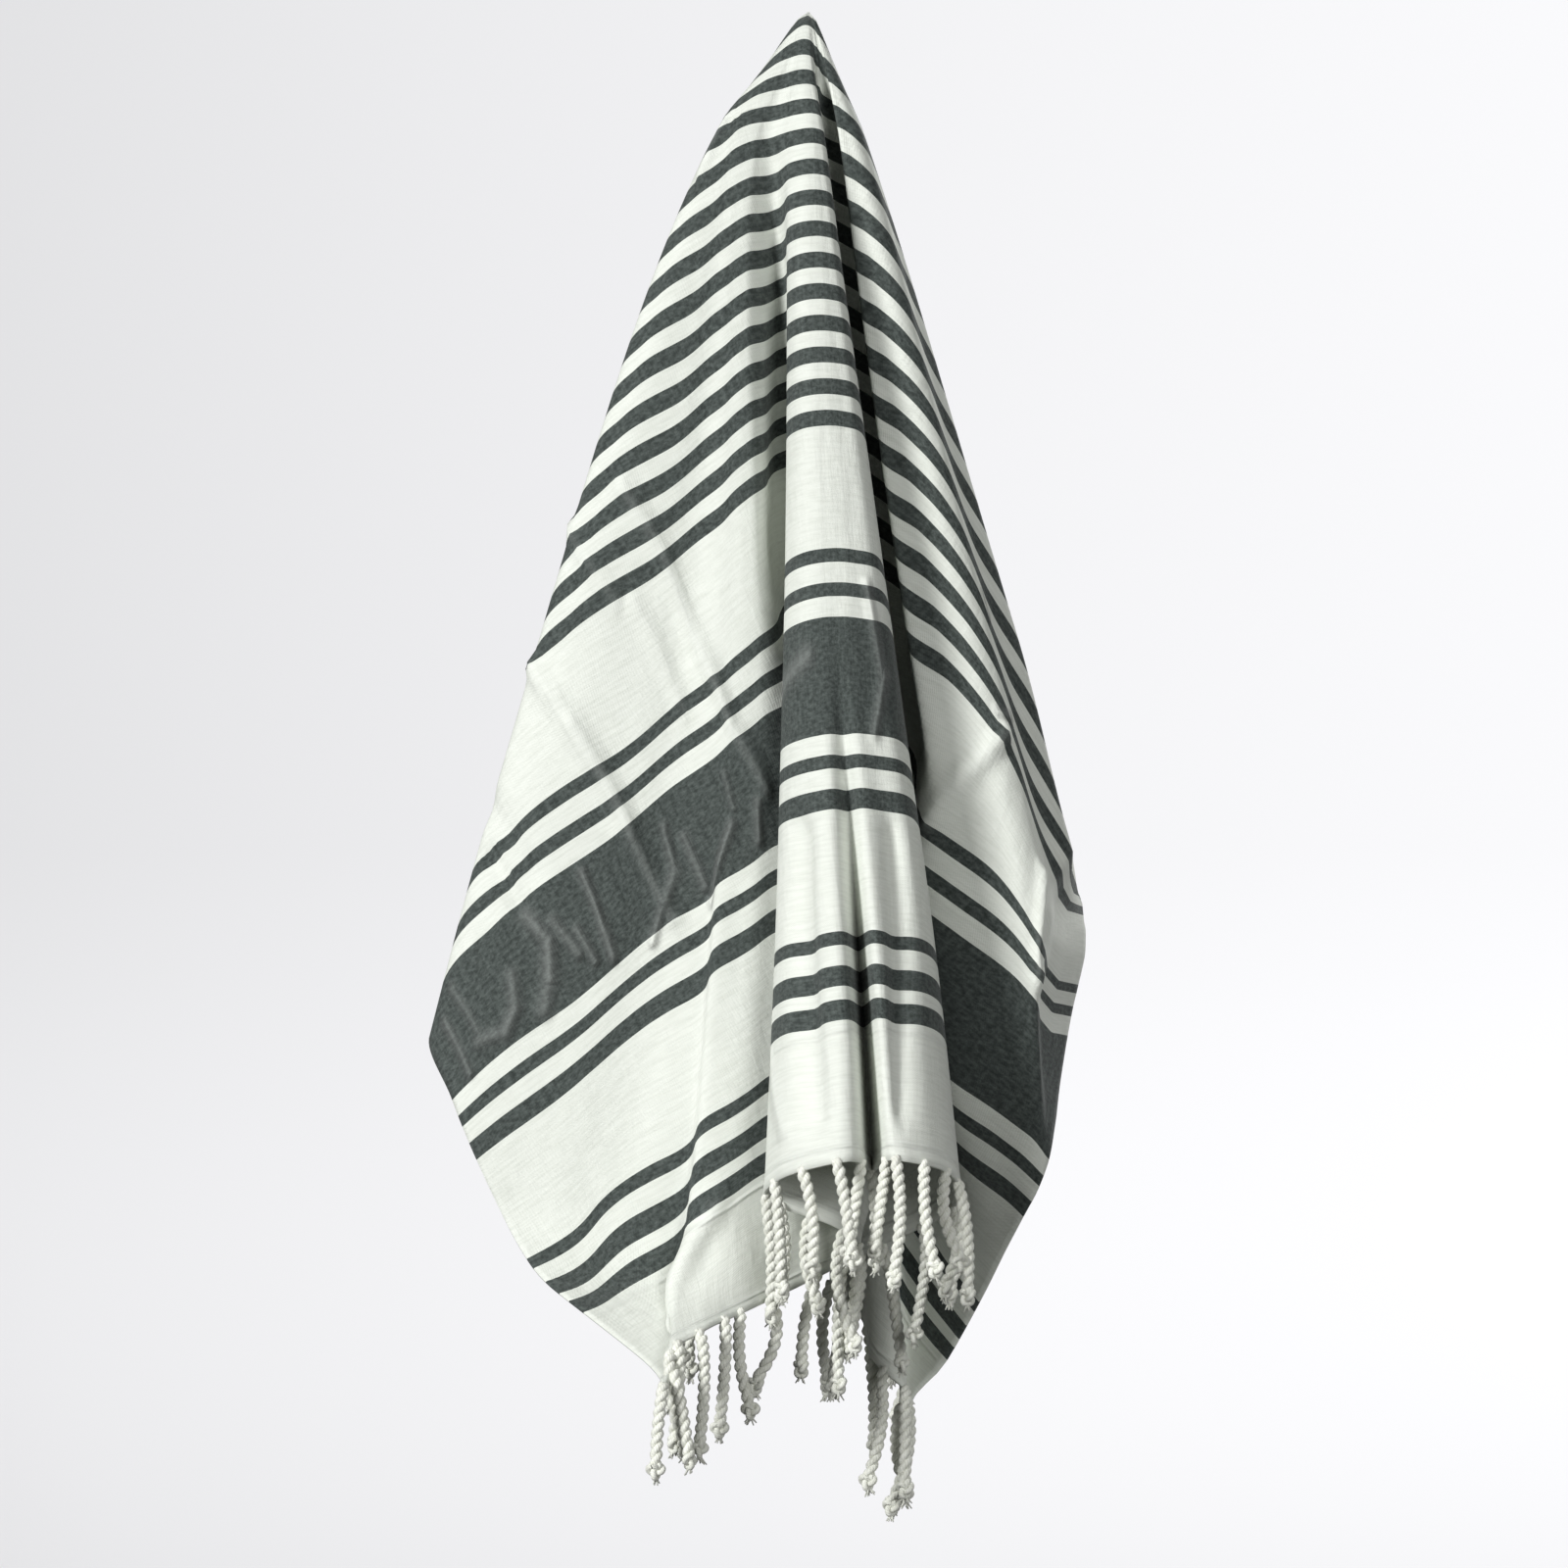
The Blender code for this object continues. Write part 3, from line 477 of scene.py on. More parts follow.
def clothShell():
    # two layers half a thickness either side of the draped surface, joined round the
    # edge, each closed at the hanging point by one pole
    cloth = clothColumns()
    count = clothGrid["rows"]
    share = (np.arange(1, count + 1) / count) ** clothGrid["rowBias"]
    reach = share[None, :] * edgeReach(cloth)[:, None]
    turn = np.radians(cloth)[:, None]
    u, v = reach * np.sin(turn), reach * np.cos(turn)
    middle = drape(u, v)
    normal = surfaceNormal(u, v)
    middle = creased(u, v, middle, normal)
    fromHem = np.minimum(clothCut["front"] - v, v + clothCut["back"])
    hem = clothCut["hemWide"]
    half = clothCut["thick"] + (clothCut["hemThick"] - clothCut["thick"]) * (
        1.0 - smoothStep(hem - clothCut["hemSoft"], hem + clothCut["hemSoft"], fromHem)
    )
    half = (half / 2)[..., None]
    columns = len(cloth)
    outer = (middle + normal * half).reshape(-1, 3)
    inner = (middle - normal * half).reshape(-1, 3)
    top = np.array([[0.0, 0.0, clothCut["thick"] / 2], [0.0, 0.0, -clothCut["thick"] / 2]])
    points = np.concatenate([outer, inner, top])
    flat = np.stack([u, v], axis=-1).reshape(-1, 2)
    uv = np.concatenate([flat, flat, np.zeros((2, 2))])
    i = np.arange(columns)
    beside = (i + 1) % columns
    k = np.arange(count - 1)
    a = (i[:, None] * count + k).ravel()
    b = (beside[:, None] * count + k).ravel()
    size = columns * count
    outerFaces = np.stack([a, a + 1, b + 1, b], axis=-1)
    innerFaces = np.stack([b, b + 1, a + 1, a], axis=-1) + size
    last, lastBeside = i * count + count - 1, beside * count + count - 1
    rim = np.stack([last, last + size, lastBeside + size, lastBeside], axis=-1)
    first, firstBeside = i * count, beside * count
    outerCap = np.stack([np.full(columns, 2 * size), first, firstBeside], axis=-1)
    innerCap = np.stack([np.full(columns, 2 * size + 1), firstBeside + size, first + size], axis=-1)
    faces = np.concatenate([outerFaces, innerFaces, rim]).tolist()
    faces += np.concatenate([outerCap, innerCap]).tolist()
    return points, faces, uv


points, faces, uv = clothShell()
wovenCloth = addMesh("woven_cloth", points, faces, uv)
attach(wovenCloth, "root")
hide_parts("towel_cloth")
print("cloth", len(points), "points")

# The tassels. Each is two plies twisted into a rope, knotted, with a loose end below.
tasselMake = {
    "count": 40,
    "margin": 0.007,
    "length": 0.059,
    "lengthChange": 0.011,
    "ply": 0.0020,
    "plyOut": 0.0017,
    "pitch": 0.0115,
    "rings": 54,
    "sides": 8,
    "sway": 0.010,
    "shift": 0.005,
    "curl": 0.005,
    "seed": 11,
    "knotSize": 0.0020,
    "knotPly": 0.0017,
    "knotRings": 44,
    "tuftThreads": 8,
    "tuftLength": 0.006,
    "tuftSpread": 0.0042,
    "tuftThick": 0.0008,
    "slopeStep": 0.004,
    "swayDeep": 0.6,
    "turnOver": 0.25,
    "sunk": 0.002,
    "plyStart": 0.55,
    "plyOpen": 6.0,
    "knotDrop": 0.002,
    "knotDeep": 1.3,
    "knotScale": 0.72,
    "knotSides": 7,
    "tuftRings": 5,
    "tuftSides": 5,
    "tuftFar": (0.2, 1.0),
    "tuftLongs": (0.7, 1.15),
    "tuftFlare": 1.5,
    "tuftTaper": 0.5,
}


def tubes(paths, radii, sides):
    # a tube round each path: centre + radius (cos a, sin a) in the plane across the path,
    # closed by a point at each end; paths is tubes x rings x 3 and radii tubes x rings
    count, rings = radii.shape
    tangent = np.gradient(paths, axis=1)
    tangent /= np.linalg.norm(tangent, axis=-1, keepdims=True) + 1e-12
    level = np.array([1.0, 0.0, 0.0]) - tangent[..., :1] * tangent
    level /= np.linalg.norm(level, axis=-1, keepdims=True) + 1e-12
    side = np.cross(tangent, level)
    angle = np.arange(sides) * 2 * np.pi / sides
    ring = (
        level[:, :, None, :] * np.cos(angle)[None, None, :, None]
        + side[:, :, None, :] * np.sin(angle)[None, None, :, None]
    )
    skin = paths[:, :, None, :] + ring * radii[:, :, None, None]
    ends = paths[:, [0, -1], :] + tangent[:, [0, -1], :] * (
        radii[:, [0, -1]] * np.array([-0.5, 0.5])
    )[..., None]
    each = rings * sides + 2
    points = np.concatenate([skin.reshape(count, -1, 3), ends], axis=1).reshape(-1, 3)
    along = np.arange(rings) / (rings - 1)
    uvSkin = np.stack(np.broadcast_arrays(along[:, None], (angle / (2 * np.pi))[None, :]), axis=-1)
    uvOne = np.concatenate([uvSkin.reshape(-1, 2), [[0.0, 0.0], [1.0, 0.0]]])
    j = np.arange(sides)
    after = (j + 1) % sides
    k = np.arange(rings - 1)[:, None] * sides
    quads = np.stack([k + j, k + after, k + sides + after, k + sides + j], axis=-1).reshape(-1, 4)
    start = np.stack([np.full(sides, rings * sides), after, j], axis=-1)
    low = (rings - 1) * sides
    end = np.stack([np.full(sides, rings * sides + 1), low + j, low + after], axis=-1)
    shift = (np.arange(count) * each)[:, None, None]
    quads = (quads[None] + shift).reshape(-1, 4)
    caps = (np.concatenate([start, end])[None] + shift).reshape(-1, 3)
    return points, quads, caps, np.tile(uvOne, (count, 1))


def joinTubes(parts):
    # several sets of tubes as one list of points and faces
    points, faces, uv, total = [], [], [], 0
    for skin, quads, caps, flat in parts:
        points.append(skin)
        uv.append(flat)
        faces += (quads + total).tolist() + (caps + total).tolist()
        total += len(skin)
    return np.concatenate(points), faces, np.concatenate(uv)


def tasselRow(name, node, length, seed):
    # each path starts at the hem, leaves along the cloth and turns down; its plies are
    # helices round it, the knot is a trefoil, and the loose end is a spray of thin threads
    make = tasselMake
    rng = np.random.default_rng(seed)
    count = make["count"]
    u = np.linspace(-clothCut["left"] + make["margin"], clothCut["right"] - make["margin"], count)
    u = u + rng.uniform(-1.0, 1.0, count) * make["shift"]
    v = np.full(count, length)
    root = drape(u, v)
    down = root - drape(u, v - math.copysign(make["slopeStep"], length))
    down /= np.linalg.norm(down, axis=-1, keepdims=True)
    s = np.linspace(0.0, 1.0, make["rings"])[None, :, None]
    long = make["length"] + make["lengthChange"] * rng.uniform(-1.0, 1.0, count)
    long = long[:, None, None]
    sway = np.zeros((count, 1, 3))
    sway[:, 0, 0] = rng.uniform(-1.0, 1.0, count) * make["sway"]
    sway[:, 0, 1] = rng.uniform(-1.0, 1.0, count) * make["sway"] * make["swayDeep"]
    bow = np.zeros((count, 1, 3))
    bow[:, 0, 0] = rng.uniform(-1.0, 1.0, count) * make["curl"]
    fall = np.array([0.0, 0.0, -1.0])
    over = make["turnOver"]
    blend = np.minimum(s / over, 1.0)
    lead = down[:, None, :] * (s - blend * s / 2) + fall * (blend * s / 2)
    lead = np.where(s > over, down[:, None, :] * (over / 2) + fall * (s - over / 2), lead)
    path = root[:, None, :] + lead * long + sway * s ** 2 + bow * np.sin(np.pi * s)
    path -= down[:, None, :] * make["sunk"]
    tangent = np.gradient(path, axis=1)
    tangent /= np.linalg.norm(tangent, axis=-1, keepdims=True)
    level = np.array([1.0, 0.0, 0.0]) - tangent[..., :1] * tangent
    level /= np.linalg.norm(level, axis=-1, keepdims=True)
    side = np.cross(tangent, level)
    phase = rng.uniform(0.0, 2 * np.pi, count)[:, None, None]
    parts = []
    for ply in (0.0, np.pi):
        angle = s * long / make["pitch"] * 2 * np.pi + ply + phase
        out = make["plyOut"] * np.minimum(1.0, make["plyStart"] + s * make["plyOpen"])
        plyPath = path + (level * np.cos(angle) + side * np.sin(angle)) * out
        radii = np.full((count, make["rings"]), make["ply"])
        parts.append(tubes(plyPath, radii, make["sides"]))
    t = np.linspace(0.0, 2 * np.pi, make["knotRings"])[None, :, None]
    end = path[:, -1:, :] + fall * make["knotDrop"]
    across, deep, drop = (np.array(axis) for axis in ((1.0, 0, 0), (0, 1.0, 0), (0, 0, 1.0)))
    trefoil = (
        across * (np.sin(t) + 2 * np.sin(2 * t))
        + drop * (np.cos(t) - 2 * np.cos(2 * t))
        - deep * np.sin(3 * t) * make["knotDeep"]
    )
    spin = rng.uniform(0.0, 2 * np.pi, count)[:, None]
    turned = np.stack(
        [
            trefoil[..., 0] * np.cos(spin) - trefoil[..., 1] * np.sin(spin),
            trefoil[..., 0] * np.sin(spin) + trefoil[..., 1] * np.cos(spin),
            np.broadcast_to(trefoil[..., 2], (count, make["knotRings"])),
        ],
        axis=-1,
    )
    knot = end + turned * make["knotSize"] * make["knotScale"]
    radii = np.full((count, make["knotRings"]), make["knotPly"])
    parts.append(tubes(knot, radii, make["knotSides"]))
    threads = make["tuftThreads"]
    q = np.linspace(0.0, 1.0, make["tuftRings"])[None, :, None]
    around = rng.uniform(0.0, 2 * np.pi, count * threads)
    far = rng.uniform(*make["tuftFar"], count * threads) * make["tuftSpread"]
    spray = np.stack([np.cos(around) * far, np.sin(around) * far, np.zeros_like(far)], axis=-1)
    tuftLong = make["tuftLength"] * rng.uniform(*make["tuftLongs"], count * threads)
    tuftLong = tuftLong[:, None, None]
    base = np.repeat(end[:, 0, :], threads, axis=0)[:, None, :] + fall * make["knotDrop"]
    tuft = base + fall * q * tuftLong + spray[:, None, :] * q ** make["tuftFlare"]
    thin = make["tuftThick"] * (1.0 - make["tuftTaper"] * q[0, :, 0])
    radii = np.broadcast_to(thin, (count * threads, make["tuftRings"]))
    parts.append(tubes(tuft, radii, make["tuftSides"]))
    points, faces, uv = joinTubes(parts)
    row = addMesh(name, points, faces, uv)
    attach(row, "root")
    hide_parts(node)
    print(name, len(points), "points")
    return row


frontTassels = tasselRow("front_tassels", "fringe_front", clothCut["front"], tasselMake["seed"])
backTassels = tasselRow("back_tassels", "fringe_back", -clothCut["back"], tasselMake["seed"] + 1)


def newGroup(name, inputs, outputs):
    # an empty shader node group with these sockets
    group = bpy.data.node_groups.new(name, "ShaderNodeTree")
    for socket, kind, value in inputs:
        made = group.interface.new_socket(socket, in_out="INPUT", socket_type=kind)
        if value is not None:
            made.default_value = value
    for socket, kind in outputs:
        group.interface.new_socket(socket, in_out="OUTPUT", socket_type=kind)
    return group, group.nodes.new("NodeGroupInput"), group.nodes.new("NodeGroupOutput")


def mathNode(tree, operation, first, second=None, third=None, clamp=False):
    # one Math node, its inputs numbers or sockets
    node = tree.nodes.new("ShaderNodeMath")
    node.operation = operation
    node.use_clamp = clamp
    for index, value in enumerate((first, second, third)):
        if isinstance(value, bpy.types.NodeSocket):
            tree.links.new(value, node.inputs[index])
        elif value is not None:
            node.inputs[index].default_value = value
    return node.outputs[0]


def mixColours(tree, factor, first, second):
    # one colour Mix node, its inputs colours or sockets
    node = tree.nodes.new("ShaderNodeMix")
    node.data_type = "RGBA"
    node.clamp_factor = True
    for index, value in ((0, factor), (6, first), (7, second)):
        if isinstance(value, bpy.types.NodeSocket):
            tree.links.new(value, node.inputs[index])
        else:
            node.inputs[index].default_value = value
    return node.outputs[2]


def noiseNode(tree, vector, scale, detail=2.0, rough=0.5):
    # one Noise node at these coordinates, and its value
    node = tree.nodes.new("ShaderNodeTexNoise")
    node.inputs["Scale"].default_value = scale
    node.inputs["Detail"].default_value = detail
    node.inputs["Roughness"].default_value = rough
    tree.links.new(vector, node.inputs["Vector"])
    return node.outputs["Fac"]


def vectorMath(tree, operation, first, second):
    # one Vector Math node of two sockets, and its vector or its value
    node = tree.nodes.new("ShaderNodeVectorMath")
    node.operation = operation
    tree.links.new(first, node.inputs[0])
    tree.links.new(second, node.inputs[1])
    single = operation in ("DOT_PRODUCT", "DISTANCE")
    return node.outputs["Value" if single else "Vector"]


def stretched(tree, vector, scale):
    # the coordinates times a scale for each axis
    node = tree.nodes.new("ShaderNodeVectorMath")
    node.operation = "MULTIPLY"
    tree.links.new(vector, node.inputs[0])
    node.inputs[1].default_value = scale
    return node.outputs["Vector"]


def newMaterial(name, surface):
    # a material with its Principled shader's constants set
    material = bpy.data.materials.new(name)
    material.use_nodes = True
    shader = material.node_tree.nodes["Principled BSDF"]
    for socket, value in surface.items():
        shader.inputs[socket].default_value = value
    return material, material.node_tree, shader


def bumpNode(tree, height, strength, distance):
    # one Bump node for a height in units of distance
    node = tree.nodes.new("ShaderNodeBump")
    node.inputs["Strength"].default_value = strength
    node.inputs["Distance"].default_value = distance
    tree.links.new(height, node.inputs["Height"])
    return node


threadLook = {
    "pitch": 0.0012,
    "weave": 0.35,
    # noise scales along u and v
    "weft": (45.0, 520.0, 1.0),
    "warp": (560.0, 30.0, 1.0),
    "fleck": (230.0, 430.0, 1.0),
}


def yarnGroup():
    # weave = sin(2 pi u / pitch) sin(2 pi v / pitch), and height = a share of it + weft +
    # warp, which are noises streaked along the threads of each way
    group, given, result = newGroup(
        "cottonThreads",
        [("Flat", "NodeSocketVector", None), ("Pitch", "NodeSocketFloat", threadLook["pitch"])],
        [("Height", "NodeSocketFloat"), ("Weft streak", "NodeSocketFloat"),
         ("Warp streak", "NodeSocketFloat"), ("Fleck", "NodeSocketFloat")],
    )
    flat = given.outputs["Flat"]
    split = group.nodes.new("ShaderNodeSeparateXYZ")
    group.links.new(flat, split.inputs[0])
    turnsU = mathNode(group, "DIVIDE", split.outputs[0], given.outputs["Pitch"])
    turnsV = mathNode(group, "DIVIDE", split.outputs[1], given.outputs["Pitch"])
    waveU = mathNode(group, "SINE", mathNode(group, "MULTIPLY", turnsU, 2 * math.pi))
    waveV = mathNode(group, "SINE", mathNode(group, "MULTIPLY", turnsV, 2 * math.pi))
    weave = mathNode(group, "MULTIPLY", waveU, waveV)
    weft = noiseNode(group, stretched(group, flat, threadLook["weft"]), 1.0, 3.0, 0.6)
    warp = noiseNode(group, stretched(group, flat, threadLook["warp"]), 1.0, 3.0, 0.6)
    fleck = noiseNode(group, stretched(group, flat, threadLook["fleck"]), 1.0, 2.0, 0.7)
    streaks = mathNode(group, "ADD", weft, warp)
    height = mathNode(group, "MULTIPLY_ADD", weave, threadLook["weave"], streaks)
    group.links.new(height, result.inputs["Height"])
    group.links.new(weft, result.inputs["Weft streak"])
    group.links.new(warp, result.inputs["Warp streak"])
    group.links.new(fleck, result.inputs["Fleck"])
    return group


threads = yarnGroup()


def wrinkleGroup():
    # a ridge along a line of the flat cloth, e^(-(distance / width)^2)
    group, given, result = newGroup(
        "smallWrinkle",
        [("Flat", "NodeSocketVector", None), ("From", "NodeSocketVector", None),
         ("Along", "NodeSocketVector", None), ("Long", "NodeSocketFloat", 0.02),
         ("Wide", "NodeSocketFloat", 0.002)],
        [("Height", "NodeSocketFloat")],
    )
    out = vectorMath(group, "SUBTRACT", given.outputs["Flat"], given.outputs["From"])
    along = vectorMath(group, "DOT_PRODUCT", out, given.outputs["Along"])
    near = mathNode(group, "MINIMUM", along, given.outputs["Long"])
    near = mathNode(group, "MAXIMUM", near, 0.0)
    foot = group.nodes.new("ShaderNodeVectorMath")
    foot.operation = "SCALE"
    group.links.new(given.outputs["Along"], foot.inputs[0])
    group.links.new(near, foot.inputs["Scale"])
    apart = vectorMath(group, "DISTANCE", out, foot.outputs[0])
    share = mathNode(group, "DIVIDE", apart, given.outputs["Wide"])
    fall = mathNode(group, "MULTIPLY", mathNode(group, "MULTIPLY", share, share), -1.0)
    group.links.new(mathNode(group, "EXPONENT", fall), result.inputs["Height"])
    return group


wrinkle = wrinkleGroup()

wrinkleLook = {
    # u and v of one end and of the other, width and height, in metres
    "lines": [
        (-0.3620, 0.3660, -0.3660, 0.4000, 0.0034, 0.0041),
        (-0.3660, 0.4000, -0.3667, 0.4200, 0.0041, 0.0041),
        (-0.4043, 0.3680, -0.4001, 0.3880, 0.0051, 0.0041),
        (-0.4001, 0.3880, -0.4113, 0.4070, 0.0051, 0.0046),
        (-0.4113, 0.4070, -0.4230, 0.4200, 0.0051, 0.0034),
        (-0.3920, 0.3800, -0.3873, 0.4040, 0.0041, 0.0034),
        (-0.3820, 0.3920, -0.3800, 0.4140, 0.0037, 0.0032),
        (-0.4300, 0.3920, -0.4380, 0.4090, 0.0048, 0.0034),
        (-0.4380, 0.4090, -0.4505, 0.4170, 0.0048, 0.0041),
        (-0.4505, 0.4170, -0.4690, 0.4100, 0.0048, 0.0034),
        (-0.3361, 0.4290, -0.3225, 0.4170, 0.0037, 0.0034),
        (-0.2975, 0.3760, -0.3031, 0.4010, 0.0034, 0.0032),
        (-0.3031, 0.4010, -0.3170, 0.4140, 0.0041, 0.0032),
        (-0.2881, 0.3880, -0.2921, 0.4180, 0.0034, 0.0032),
        (-0.2541, 0.4000, -0.2736, 0.4150, 0.0041, 0.0041),
        (-0.2736, 0.4150, -0.2925, 0.4280, 0.0041, 0.0032),
        (-0.2308, 0.3980, -0.2398, 0.4170, 0.0041, 0.0034),
        (-0.4851, 0.3840, -0.4837, 0.4220, 0.0034, 0.0032),
        (-0.4709, 0.3700, -0.4663, 0.4080, 0.0034, 0.0025),
        (-0.2450, 0.3720, -0.2480, 0.3920, 0.0034, 0.0021),
        (0.3010, 0.1820, 0.3150, 0.1880, 0.0034, 0.0034),
        (0.3480, 0.2360, 0.3620, 0.2220, 0.0037, 0.0034),
        (-0.0800, 0.3970, -0.0300, 0.3800, 0.0068, 0.0041),
        (0.0500, 0.3900, 0.0360, 0.4240, 0.0051, 0.0034),
        (0.0365, 0.3410, 0.0473, 0.3910, 0.0051, 0.0032),
        # two woven lines by the front hem, then a soft wrinkle low on the column
        (-0.5000, 0.5960, 0.5200, 0.5960, 0.0014, 0.0007),
        (-0.5000, 0.6620, 0.5200, 0.6620, 0.0012, 0.0008),
        (-0.1270, 0.5460, -0.0900, 0.6430, 0.0068, 0.0032),
    ],
}


def wrinkled(tree, flat, lines):
    # the greatest of the ridges along these lines, in metres
    most = None
    for u0, v0, u1, v1, wide, high in lines:
        long = math.hypot(u1 - u0, v1 - v0)
        one = tree.nodes.new("ShaderNodeGroup")
        one.node_tree = wrinkle
        tree.links.new(flat, one.inputs["Flat"])
        one.inputs["From"].default_value = (u0, v0, 0.0)
        one.inputs["Along"].default_value = ((u1 - u0) / long, (v1 - v0) / long, 0.0)
        one.inputs["Long"].default_value = long
        one.inputs["Wide"].default_value = wide
        lift = mathNode(tree, "MULTIPLY", one.outputs["Height"], high)
        most = lift if most is None else mathNode(tree, "MAXIMUM", most, lift)
    return most


stripeLook = {
    "white": (0.76, 0.785, 0.73, 1.0),
    "shade": (0.60, 0.625, 0.565, 1.0),
    "grey": (0.040, 0.048, 0.045, 1.0),
    "greyLight": (0.150, 0.172, 0.162, 1.0),
    "fineFrom": 0.0045,
    "fineWide": 0.0091,
    "finePitch": 0.0182,
    "fineEnd": 0.253,
    # from and to, in metres down from the hanging point
    "wide": [
        (0.3187, 0.3278),
        (0.3385, 0.3471),
        (0.3573, 0.4253),
        (0.4354, 0.4451),
        (0.4557, 0.4649),
        (0.5359, 0.5461),
        (0.5567, 0.5674),
        (0.5775, 0.5867),
    ],
    # painted highlight: a lighter colour painted along the raised ridges of the creases and
    # wrinkles, where light catches them
    "paintedHighlight": (0.80, 0.82, 0.79, 1.0),
    "paintedHighlightShare": 0.075,
    # the mesh creases count in the painted highlight with this share of their width and of their
    # height
    "paintedHighlightCrease": (0.6, 0.5),
    "paintedHighlightFull": 0.0025,  # height of a ridge that has the whole painted highlight share
    "hangOff": 0.054,
    "wobble": 0.0007,
    # noise scales along u and v, and the crush's height against the yarn's
    "drift": (14.0, 5.0, 1.0),
    "crush": (38.0, 16.0, 1.0),
    "crushHigh": 9.0,
    # gain and offset of each noise as a mix factor, and the shares of speck and streak
    "whiteMix": (1.6, -0.65),
    "speckMix": (3.0, -1.1),
    "streakMix": (1.4, -0.35),
    "heather": (0.6, 0.4),
    "bump": (0.5, 0.0006),
    "surface": {
        "Roughness": 0.88,
        "Specular IOR Level": 0.25,
        "Sheen Weight": 0.15,
        "Sheen Roughness": 0.5,
    },
}


def stripedCloth():
    # grey where the distance from the hanging point, along the warp, is in a stripe; the
    # stripes are mirrored about the line v = hangOff / 2
    look = stripeLook
    material, tree, shader = newMaterial("stripedCotton", look["surface"])
    place = tree.nodes.new("ShaderNodeUVMap")
    place.uv_map = "flatCloth"
    flat = place.outputs["UV"]
    yarn = tree.nodes.new("ShaderNodeGroup")
    yarn.node_tree = threads
    tree.links.new(flat, yarn.inputs["Flat"])
    yarn.inputs["Pitch"].default_value = threadLook["pitch"]
    split = tree.nodes.new("ShaderNodeSeparateXYZ")
    tree.links.new(flat, split.inputs[0])
    v = split.outputs[1]
    down = mathNode(tree, "MAXIMUM", v, mathNode(tree, "SUBTRACT", look["hangOff"], v))
    drift = noiseNode(tree, stretched(tree, flat, look["drift"]), 1.0, 2.0)
    # noise from 0 to 1 becomes -1.5 to 1.5 wobbles
    drift = mathNode(tree, "MULTIPLY_ADD", drift, look["wobble"] * 3, -look["wobble"] * 1.5)
    down = mathNode(tree, "ADD", down, drift)
    phase = mathNode(tree, "SUBTRACT", down, look["fineFrom"])
    turn = mathNode(tree, "FRACT", mathNode(tree, "DIVIDE", phase, look["finePitch"]))
    fine = mathNode(tree, "LESS_THAN", turn, look["fineWide"] / look["finePitch"])
    fine = mathNode(tree, "MULTIPLY", fine, mathNode(tree, "LESS_THAN", down, look["fineEnd"]))
    ramp = tree.nodes.new("ShaderNodeValToRGB")
    ramp.color_ramp.interpolation = "CONSTANT"
    stops = ramp.color_ramp.elements
    stops[0].position = 0.0
    stops[0].color = (0, 0, 0, 1)
    stops.remove(stops[1])
    for start, end in look["wide"]:
        stops.new(start).color = (1, 1, 1, 1)
        stops.new(end).color = (0, 0, 0, 1)
    tree.links.new(down, ramp.inputs[0])
    stripe = mathNode(tree, "MAXIMUM", fine, ramp.outputs["Color"])
    weft = yarn.outputs["Weft streak"]
    warp = yarn.outputs["Warp streak"]
    fleck = yarn.outputs["Fleck"]
    faded = mathNode(tree, "MULTIPLY_ADD", weft, *look["whiteMix"], clamp=True)
    whiteTone = mixColours(tree, faded, look["white"], look["shade"])
    speck = mathNode(tree, "MULTIPLY_ADD", fleck, *look["speckMix"], clamp=True)
    streak = mathNode(tree, "MULTIPLY_ADD", warp, *look["streakMix"], clamp=True)
    speckShare, streakShare = look["heather"]
    streak = mathNode(tree, "MULTIPLY", streak, streakShare)
    heather = mathNode(tree, "MULTIPLY_ADD", speck, speckShare, streak)
    greyTone = mixColours(tree, heather, look["grey"], look["greyLight"])
    colour = mixColours(tree, stripe, whiteTone, greyTone)
    small = wrinkled(tree, flat, wrinkleLook["lines"])
    # painted highlight: the raised wrinkle and crease ridges are painted in the lighter colour,
    # more where they stand higher
    wide, high = look["paintedHighlightCrease"]
    rows = [row for row in drapeShape["creases"] if row[5] > 0.0]
    raised = [(*row[:4], row[4] * wide, row[5] * high) for row in rows]
    paintedHighlight = mathNode(tree, "MAXIMUM", small, wrinkled(tree, flat, raised))
    paintedHighlight = mathNode(tree, "MULTIPLY", paintedHighlight, look["paintedHighlightShare"] / look["paintedHighlightFull"], clamp=True)
    colour = mixColours(tree, paintedHighlight, colour, look["paintedHighlight"])
    tree.links.new(colour, shader.inputs["Base Color"])
    crush = noiseNode(tree, stretched(tree, flat, look["crush"]), 1.0, 4.0, 0.55)
    height = mathNode(tree, "MULTIPLY_ADD", crush, look["crushHigh"], yarn.outputs["Height"])
    bump = bumpNode(tree, height, *look["bump"])
    ridges = bumpNode(tree, small, 1.0, 1.0)  # heights already in metres
    tree.links.new(bump.outputs["Normal"], ridges.inputs["Normal"])
    tree.links.new(ridges.outputs["Normal"], shader.inputs["Normal"])
    return material


wovenCloth.data.materials.append(stripedCloth())

yarnLook = {
    "light": (0.82, 0.83, 0.77, 1.0),
    "dark": (0.55, 0.56, 0.48, 1.0),
    "turns": 9.0,
    "fibres": 5,
    "fibreTone": 0.14,
    "fibreHigh": 0.5,
    # noise scale, detail and roughness of the tone and of the fuzz
    "tone": (260.0, 3.0, 0.6),
    "fuzz": (900.0, 3.0, 0.7),
    "toneMix": (1.5, -0.55),
    "fuzzHigh": 2.0,
    "bump": (0.5, 0.0003),
    "surface": {"Roughness": 0.9, "Specular IOR Level": 0.2, "Sheen Weight": 0.2},
}


